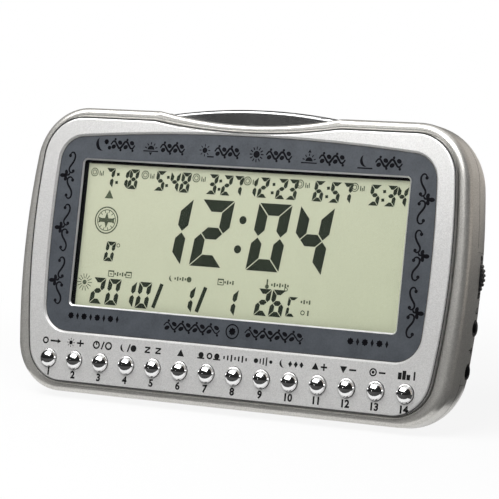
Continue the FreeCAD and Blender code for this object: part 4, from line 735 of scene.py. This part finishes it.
compassX, compassY = -57.5, 5.3
icons = []
for x in (-64.9, -42.4, -20.2, 1.6, 23.4, 45.6):
    icons += [hoop(x, 23.3, 1.65, 0.34, 24), hoop(x, 23.3, 0.95, 0.3, 20), stroke(x + 2.4, 23.0, 0.4, 1.8),
              stroke(x + 3.1, 22.6, 0.4, 1.2), stroke(x + 3.8, 23.0, 0.4, 1.8)]
icons += [hoop(compassX, compassY, 5.2, 0.5, 48), hoop(compassX, compassY, 4.1, 0.3, 44),
          lozenge(compassX, compassY, 2.1, 6.2), stroke(compassX, compassY, 6.8, 1.5),
          wedge(-57.4, 14.7, 2.2), hoop(-51.1, -3.9, 0.8, 0.3, 18), hoop(21.9, -15.3, 0.75, 0.28, 18)]
for step in range(12):
    angle = math.pi * (step + 0.5) / 6
    icons.append(stroke(compassX + 3.3 * math.cos(angle), compassY + 3.3 * math.sin(angle), 1.0, 0.3,
                        math.degrees(angle)))
icons += sun(-64.4, -18.7, 3.3, 14, core=0.27, ray=0.085)
icons += calendarSign(-53.0, -14.7) + dashes(-49.0, -14.7, 5) + calendarSign(-45.2, -14.7)
icons += [crescent(-26.3, -14.6, 1.2, 20)] + dashes(-22.7, -14.6, 5) + [disc(-18.9, -14.6, 1.05, 20)]
icons += calendarSign(-5.4, -14.5) + dashes(-1.9, -14.5, 4)
icons += [disc(14.0, -14.8, 0.8, 16), stroke(14.0, -13.4, 0.6, 2.6)] + dashes(19.3, -14.0, 7)
icons += dashes(30.4, -19.3, 4) + [hoop(29.6, -23.2, 0.9, 0.35, 18), stroke(31.8, -23.2, 0.6, 1.9)]
printMarks(icons, "lcd_icons", heights["glass"], crystalFaint)
print("display icons done")


# printed plate: a sign and a leafy vine for each of six times of day, stars and vines below

brush = {"steps": 5, "flat": 0.06}


def brushLine(points, halfWidth, thin=0.6):
    # a bevelled line that is fuller in its middle, pressed flat
    deselectAll()
    bpy.ops.curve.primitive_bezier_curve_add()
    obj = bpy.context.object
    spline = obj.data.splines[0]
    spline.bezier_points.add(len(points) - 2)
    for step, (knot, (x, y)) in enumerate(zip(spline.bezier_points, points)):
        share = math.sin(math.pi * step / (len(points) - 1))
        knot.co = (x * mm, y * mm, 0)
        knot.handle_left_type = knot.handle_right_type = "AUTO"
        knot.radius = thin + (1 - thin) * share
    obj.data.bevel_depth = halfWidth * mm
    obj.data.bevel_resolution = 1
    obj.data.resolution_u = brush["steps"]
    obj.data.use_fill_caps = True
    pick(obj)
    bpy.ops.object.convert(target="MESH")
    obj = bpy.context.object
    obj.scale.z = brush["flat"]
    return freeze(obj)


def vine(x, y, wide, high, turns, halfWidth=0.54):
    # a waved stem with a leaf in each bend; gives its stem and its leaves
    count = turns * 4
    stem = [(x + wide * (step / count - 0.5), y + high * 0.32 * math.sin(math.pi * step / 2))
            for step in range(count + 1)]
    leaves = []
    for step in range(1, count, 2):
        flip = 1 if step % 4 == 1 else -1
        leaves += [oval(x + wide * (step / count - 0.5), y - flip * high * 0.2, wide / count * 1.5, high * 0.4,
                        flip * 25),
                   disc(x + wide * (step / count - 0.5) + 0.5, y + flip * high * 0.5, 0.5, 12)]
    return [brushLine(stem, halfWidth, 0.7)], leaves


def star(x, y, radius):
    # two squares, one turned by half a corner
    return [lozenge(x, y, radius * 2, radius * 2), stroke(x, y, radius * 1.42, radius * 1.42)]


def dayGroup(kind, x, y):
    shapes = []
    if kind == "night":
        shapes += [crescent(x, y, 2.6, 20)] + star(x + 2.0, y + 0.9, 1.1) + star(x + 3.5, y - 1.3, 0.85)
    elif kind == "dusk":
        shapes += halfSun(x, y - 0.9, 2.7) + [wedge(x, y - 2.35, 0.8, 180)]
    elif kind == "afternoon":
        shapes += sun(x - 0.2, y + 0.2, 2.3, 8) + [stroke(x + 2.4, y - 2.1, 2.8, 0.5)]
    elif kind == "noon":
        shapes += sun(x, y, 2.9, 12)
    elif kind == "sunrise":
        shapes += halfSun(x, y - 1.2, 2.7) + [wedge(x, y + 2.35, 0.8)]
    else:
        shapes += [crescent(x, y + 0.4, 2.2, 20), stroke(x, y - 2.3, 6.0, 0.5)]
    return shapes


topMarks, topLines = [], []
for kind, x, y in (("night", -55.9, 33.9), ("dusk", -34.1, 33.6), ("afternoon", -10.6, 33.3),
                   ("noon", 11.1, 33.0), ("sunrise", 32.9, 32.7), ("dawn", 55.6, 32.4)):
    topMarks += dayGroup(kind, x - 5.4, y)
    stems, leaves = vine(x + 3.9, y, 10.6, 4.0, 2)
    topLines += stems
    topMarks += leaves
printMarks(topMarks, "plate_times_of_day", heights["plate"], inkBlack, lines=topLines)

chainRow = {"pitch": 2.9, "stars": -31.8, "vines": -32.3}
chain, chainLines = [], []
for start, end in ((-67.2, -46.6), (51.2, 65.6)):
    count = round((end - start) / chainRow["pitch"])
    for step in range(count + 1):
        x = start + (end - start) * step / count
        if step % 2 == 0:
            chain += star(x, chainRow["stars"], 1.35)
        else:
            chain.append(lozenge(x, chainRow["stars"], 1.3, 2.8))
for x, wide in ((-14.2, 24.0), (20.2, 24.0)):
    stems, leaves = vine(x, chainRow["vines"], wide, 3.8, 4, 0.46)
    chainLines += stems
    chain += leaves
chain += [hoop(3.0, chainRow["vines"], 2.8, 0.5, 36)] + star(3.0, chainRow["vines"], 1.5)
printMarks(chain, "plate_chain", heights["plate"], inkBlack, lines=chainLines)
print("plate marks done")

# one scroll: two opposed S strokes with balled ends and a three-lobed bud on the outer side, in mm
scroll = {
    "upper": [(-0.35, 7.2), (-0.05, 8.15), (0.85, 8.5), (1.7, 7.8), (1.9, 6.5), (1.3, 4.85), (0.4, 3.5),
              (-0.2, 2.5), (-0.2, 1.5), (0.45, 0.8), (1.3, 0.75), (1.6, 1.35)],
    "lower": [(1.75, -2.1), (1.5, -1.4), (0.65, -1.0), (-0.35, -1.45), (-0.6, -2.5), (-0.2, -3.7), (0.85, -5.1),
              (1.75, -6.6), (1.75, -8.1), (0.95, -9.1), (-0.2, -8.8), (-0.5, -8.0)],
    "stem": [(0.3, 0.9), (-0.2, -0.1), (-1.2, -0.35)],
    "lobes": [(-1.35, 0.8, 1.4, 2.0, 20), (-3.0, -0.45, 2.4, 1.6, 0), (-1.55, -1.6, 1.4, 1.9, -15),
              (-1.75, -0.4, 1.7, 1.6, 0)],
    "halfWidth": 0.5, "ball": 0.66, "thick": 0.03, "rows": (21.6, 1.6, -18.6), "across": 74.55,
    "rightDrop": 0.9}


def makeScroll():
    strokes = [brushLine(scroll[name], scroll["halfWidth"]) for name in ("upper", "lower", "stem")]
    balls = [disc(*scroll[name][end], scroll["ball"], 14) for name in ("upper", "lower") for end in (0, -1)]
    balls += [oval(*lobe) for lobe in scroll["lobes"]]
    flat = joinAll(balls, "buds")
    freeze(flat)
    applyModifier(flat, "SOLIDIFY", thickness=scroll["thick"] * mm, offset=0.0)
    return joinAll([flat] + strokes, "scroll")


firstScroll = makeScroll()
scrolls = []
for side in (-1, 1):
    drop = scroll["rightDrop"] if side > 0 else 0
    for y in scroll["rows"]:
        twin = copyOf(firstScroll)
        twin.scale.x = -side
        twin.location = (side * scroll["across"] * mm, (y - drop) * mm, heights["plate"] * mm)
        freeze(twin)
        scrolls.append(twin)
bpy.data.objects.remove(firstScroll)
ornament = joinAll(scrolls, "plate_scrolls")
outward(ornament)
leanOnFace(ornament)
dress(ornament, inkBlack, "root")
print("scrolls done")


# pale panel: a plain sign over each key and its number under it

def keySign(which, x, y):
    signs = [
        lambda: [hoop(x - 1.6, y, 1.05, 0.46, 20), stroke(x + 1.4, y, 2.6, 0.55), wedge(x + 3.0, y, 0.8, -90)],
        lambda: sun(x - 1.7, y, 1.35, 8) + [stroke(x + 1.6, y, 2.4, 0.5), stroke(x + 1.6, y, 0.5, 2.0)],
        lambda: [hoop(x - 1.8, y, 1.2, 0.46, 20), stroke(x - 1.8, y + 0.45, 0.42, 0.9),
                 stroke(x + 0.4, y, 0.46, 2.4, -18), hoop(x + 2.4, y, 1.2, 0.46, 20)],
        lambda: [crescent(x - 1.3, y, 1.2, 20), stroke(x + 0.4, y, 0.46, 2.4, -18), disc(x + 2.0, y, 1.0, 20)],
        lambda: [stroke(x - 2.2, y + 0.7, 1.8, 0.45), stroke(x - 2.2, y - 0.7, 1.8, 0.45),
                 stroke(x - 2.2, y, 2.1, 0.42, 38), stroke(x + 1.4, y + 0.7, 1.8, 0.45),
                 stroke(x + 1.4, y - 0.7, 1.8, 0.45), stroke(x + 1.4, y, 2.1, 0.42, 38)],
        lambda: [wedge(x, y - 0.2, 1.35)],
        lambda: [disc(x - 2.2, y + 0.1, 0.85, 20), stroke(x - 2.2, y - 0.8, 2.3, 0.4),
                 hoop(x + 0.6, y, 0.95, 0.46, 20), disc(x + 3.0, y + 0.1, 0.85, 20),
                 stroke(x + 3.0, y - 0.8, 2.3, 0.4)],
        lambda: [stroke(x + 1.2 * step, y, 0.5, 0.9 + 0.5 * (step % 3)) for step in range(-3, 4)],
        lambda: [disc(x - 2.2, y, 0.7, 16), stroke(x - 0.8, y, 0.4, 1.4), stroke(x + 0.2, y, 0.4, 1.9),
                 stroke(x + 1.2, y, 0.4, 2.4), disc(x + 2.6, y, 0.5, 16)],
        lambda: [crescent(x - 2.4, y, 1.2, 20), lozenge(x - 0.2, y, 1.3, 1.8), lozenge(x + 1.6, y, 1.3, 1.8),
                 lozenge(x + 3.4, y, 1.3, 1.8)],
        lambda: [wedge(x - 1.2, y - 0.2, 1.3), stroke(x + 1.5, y, 2.0, 0.5), stroke(x + 1.5, y, 0.5, 2.0)],
        lambda: [wedge(x - 1.4, y + 0.2, 1.3, 180), stroke(x + 1.5, y, 2.2, 0.5)],
        lambda: [hoop(x - 1.2, y, 1.15, 0.4, 20), disc(x - 1.2, y, 0.45, 12), stroke(x + 1.6, y, 2.0, 0.5)],
        lambda: [stroke(x - 2.0, y - 0.3, 1.1, 1.9), stroke(x - 0.7, y, 1.1, 2.5),
                 stroke(x + 0.6, y - 0.5, 1.1, 1.5), stroke(x + 2.4, y, 0.5, 2.4)]]
    return signs[which]()


def enlarged(shapes, x, y, times):
    whole = freeze(joinAll(shapes, "sign"))
    middle = Matrix.Translation((x * mm, y * mm, 0))
    whole.data.transform(middle @ Matrix.Scale(times, 4) @ middle.inverted())
    return whole


panelKeys = {"count": 14, "pitch": 11.5, "row": -48.5, "signRise": 6.5, "signScale": 1.28,
             "numberDrop": 5.7, "numberHigh": 2.7, "firstInset": 0.5}
signs = []
for which in range(panelKeys["count"]):
    x = (which - (panelKeys["count"] - 1) / 2) * panelKeys["pitch"]
    rise = panelKeys["row"] + panelKeys["signRise"]
    signs.append(enlarged(keySign(which, x, rise), x, rise, panelKeys["signScale"]))
    # the first number moves in, away from the round corner of the panel
    inset = panelKeys["firstInset"] if which == 0 else 0
    signs.append(number(str(which + 1), x + inset, panelKeys["row"] - panelKeys["numberDrop"] + inset,
                        panelKeys["numberHigh"]))
printMarks(signs, "panel_signs", heights["panel"], inkGrey, thick=0.03)
print("panel signs done")


# cone springs of the battery bay, wound from a wire ring
coil = {"wire": 0.22, "sides": 8, "foot": 3.38, "taper": 0.3, "turns": 3.2, "steps": 90, "rise": 1.94,
        "deep": -25.1, "places": [(-56.9, -31.93, -90), (-42.1, 22.93, 90)]}


def makeSpring():
    deselectAll()
    bpy.ops.mesh.primitive_circle_add(vertices=coil["sides"], radius=coil["wire"] * mm,
                                      location=(coil["foot"] * mm, 0, 0), rotation=(math.radians(90), 0, 0))
    spring = freeze(bpy.context.object)
    applyModifier(spring, "SCREW", angle=math.radians(360 * coil["turns"]), screw_offset=coil["rise"] * mm,
                  steps=coil["steps"], render_steps=coil["steps"])
    applyModifier(spring, "SIMPLE_DEFORM", deform_method="TAPER", deform_axis="Z", factor=-coil["taper"])
    bpy.ops.object.mode_set(mode="EDIT")
    bpy.ops.mesh.select_all(action="SELECT")
    bpy.ops.mesh.fill_holes(sides=coil["sides"])
    bpy.ops.object.mode_set(mode="OBJECT")
    return outward(spring)


firstSpring = makeSpring()
coils = []
for x, y, turn in coil["places"]:
    twin = copyOf(firstSpring)
    twin.rotation_euler.x = math.radians(turn)
    twin.location = (x * mm, y * mm, coil["deep"] * mm)
    coils.append(freeze(twin))
bpy.data.objects.remove(firstSpring)
springs = leanOnFace(joinAll(coils, "wound_springs"))
dress(springs, platedSteel, "root")
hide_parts("battery_springs")
print("springs done")


# plain signs beside the wheel and the sockets, pressed onto the curved side of the case
def sideSigns():
    swell = [stroke(17.6 + 0.18 * step, -14.0 + 1.15 * step, 0.5 + 0.36 * step, 0.55) for step in range(8)]
    phones = [hoop(15.2, -16.9, 1.15, 0.32, 24), stroke(14.1, -17.5, 0.6, 1.1), stroke(16.3, -17.5, 0.6, 1.1)]
    power = [hoop(15.2, -31.0, 1.05, 0.32, 24), disc(15.2, -31.0, 0.45, 16), stroke(12.9, -31.0, 1.3, 0.34),
             stroke(17.6, -31.0, 1.3, 0.34), stroke(17.6, -31.0, 0.34, 1.3)]
    return swell + phones + power


printMarks(sideSigns(), "side_signs", heights["side"], inkGrey, thick=0.04, turn=90,
           onto="front_frame")

# open sign on the battery door: a wedge under a bar, over the grip lines
printMarks([wedge(49.5, -22.4, 1.7, 180), stroke(49.5, -20.3, 3.4, 0.5)], "door_arrow", heights["door"],
           inkGrey, thick=0.04, turn=180, body="battery_door")
print("side signs and door arrow done")

# stage: pale floor, three lamps, and dark and pale cloths around it that only reflections see
stageLook = {"floorTone": 0.62, "nearGlow": 0.88, "farGlow": 1.0, "fadeStart": 0.12, "fadeEnd": 0.28,
             "roomDiffuse": 0.36}


def backgroundRays(tree):
    # 1 for rays that should see the plain white backdrop
    rays = addNode(tree, "ShaderNodeLightPath")
    most = addNode(tree, "ShaderNodeMath", operation="MAXIMUM")
    every = addNode(tree, "ShaderNodeMath", operation="MAXIMUM")
    wire(tree, (rays.outputs["Is Camera Ray"], most.inputs[0]), (rays.outputs["Is Glossy Ray"], most.inputs[1]),
         (most.outputs["Value"], every.inputs[0]), (rays.outputs["Is Transmission Ray"], every.inputs[1]))
    return every.outputs["Value"]


def makeFloor():
    deselectAll()
    bpy.ops.mesh.primitive_plane_add(size=14, location=(0, 0, 0))
    floor = bpy.context.object
    floor.name = "floor"
    material, tree, shader, place = startMaterial("floorPaper", Roughness=0.9)
    shader.inputs["Base Color"].default_value = grey(stageLook["floorTone"])
    glow = addNode(tree, "ShaderNodeEmission")
    glow.inputs["Color"].default_value = (1, 1, 1, 1)
    blend = addNode(tree, "ShaderNodeMixShader")
    reach = addNode(tree, "ShaderNodeVectorMath", operation="LENGTH")
    fade = addNode(tree, "ShaderNodeMapRange", From_Min=stageLook["fadeStart"], From_Max=stageLook["fadeEnd"],
                   To_Min=stageLook["nearGlow"], To_Max=stageLook["farGlow"])
    fade.interpolation_type = "SMOOTHSTEP"
    share = addNode(tree, "ShaderNodeMath", operation="MULTIPLY")
    wire(tree, (place, reach.inputs[0]), (reach.outputs["Value"], fade.inputs["Value"]),
         (fade.outputs["Result"], share.inputs[0]), (backgroundRays(tree), share.inputs[1]),
         (share.outputs["Value"], blend.inputs["Fac"]),
         (shader.outputs["BSDF"], blend.inputs[1]), (glow.outputs["Emission"], blend.inputs[2]),
         (blend.outputs["Shader"], tree.nodes["Material Output"].inputs["Surface"]))
    floor.data.materials.append(material)


def makeRoom():
    world = bpy.data.worlds.new("studio")
    bpy.context.scene.world = world
    world.use_nodes = True
    tree = world.node_tree
    soft = tree.nodes["Background"]
    soft.inputs["Color"].default_value = (1, 1, 1, 1)
    soft.inputs["Strength"].default_value = stageLook["roomDiffuse"]
    seen = addNode(tree, "ShaderNodeBackground")
    seen.inputs["Color"].default_value = (1, 1, 1, 1)
    blend = addNode(tree, "ShaderNodeMixShader")
    wire(tree, (backgroundRays(tree), blend.inputs["Fac"]), (soft.outputs["Background"], blend.inputs[1]),
         (seen.outputs["Background"], blend.inputs[2]),
         (blend.outputs["Shader"], tree.nodes["World Output"].inputs["Surface"]))


def addLamp(name, place, aim, size, watts):
    deselectAll()
    bpy.ops.object.light_add(type="AREA", location=place)
    lamp = bpy.context.object
    lamp.name = name
    lamp.data.shape = "RECTANGLE"
    lamp.data.size, lamp.data.size_y = size
    lamp.data.energy = watts
    lamp.rotation_euler = (Vector(aim) - Vector(place)).to_track_quat("-Z", "Y").to_euler()
    lamp.visible_camera = False


def hangCloth(cloth, name, tone, warm=0.0):
    cloth.name = name
    material, _, shader, _ = startMaterial(name + "Felt", Roughness=1.0)
    shader.inputs["Base Color"].default_value = grey(tone, warm)
    cloth.data.materials.append(material)
    cloth.visible_camera = cloth.visible_shadow = cloth.visible_diffuse = False


clothRing = {"radius": 0.95, "sides": 72, "tall": 2.0}


def curvedCloth(start, end):
    # part of an upright ring, from one bearing to another; 0 is in front and 90 on the right
    deselectAll()
    bpy.ops.mesh.primitive_cylinder_add(vertices=clothRing["sides"], radius=clothRing["radius"],
                                        depth=clothRing["tall"], end_fill_type="NOTHING",
                                        location=(0, 0, clothRing["tall"] / 2))
    cloth = bpy.context.object
    bpy.ops.object.mode_set(mode="EDIT")
    bpy.ops.mesh.select_all(action="DESELECT")
    bpy.ops.object.mode_set(mode="OBJECT")
    for face in cloth.data.polygons:
        bearing = math.degrees(math.atan2(face.center.x, -face.center.y))
        face.select = not (start < bearing < end or start < bearing + 360 < end)
    bpy.ops.object.mode_set(mode="EDIT")
    bpy.ops.mesh.delete(type="FACE")
    bpy.ops.object.mode_set(mode="OBJECT")
    return cloth


makeFloor()
makeRoom()
middle = (0, 0, 0.055)
addLamp("topLamp", (-0.08, -0.22, 0.36), middle, (0.5, 0.26), 2.6)
addLamp("frontLamp", (-0.75, -1.1, 0.75), middle, (0.9, 0.7), 2.6)
addLamp("backLamp", (0.1, 1.35, 0.35), middle, (1.0, 0.5), 6)
for name, start, end, tone, warm in (("frontCloth", -100, 85, 0.03, 0),
                                     ("backCloth", 85, 185, 0.85, 0.1),
                                     ("farCloth", 185, 260, 0.02, 0)):
    hangCloth(curvedCloth(start, end), name, tone, warm)
tableLook = {"wide": 2596, "deep": 2480, "corner": 300, "band": 1200, "place": (-0.006, 0, 0.001)}
table = roundedRing(tableLook["wide"], tableLook["deep"], tableLook["corner"], tableLook["band"])
table.location = tableLook["place"]
hangCloth(table, "tableCloth", 0.03)
print("stage done")

shot = {"place": (0.4434, -0.7985, 0.1808), "aim": (0.00526, -0.01295, 0.06011), "lens": 178.93,
        "sensor": 36}
deselectAll()
bpy.ops.object.camera_add(location=shot["place"])
camera = bpy.context.object
camera.rotation_euler = (Vector(shot["aim"]) - Vector(shot["place"])).to_track_quat("-Z", "Y").to_euler()
camera.data.lens = shot["lens"]
camera.data.sensor_width = shot["sensor"]
bpy.context.scene.camera = camera
bpy.context.scene.view_settings.view_transform = "Standard"

bpy.context.view_layer.update()
print("scene ready")
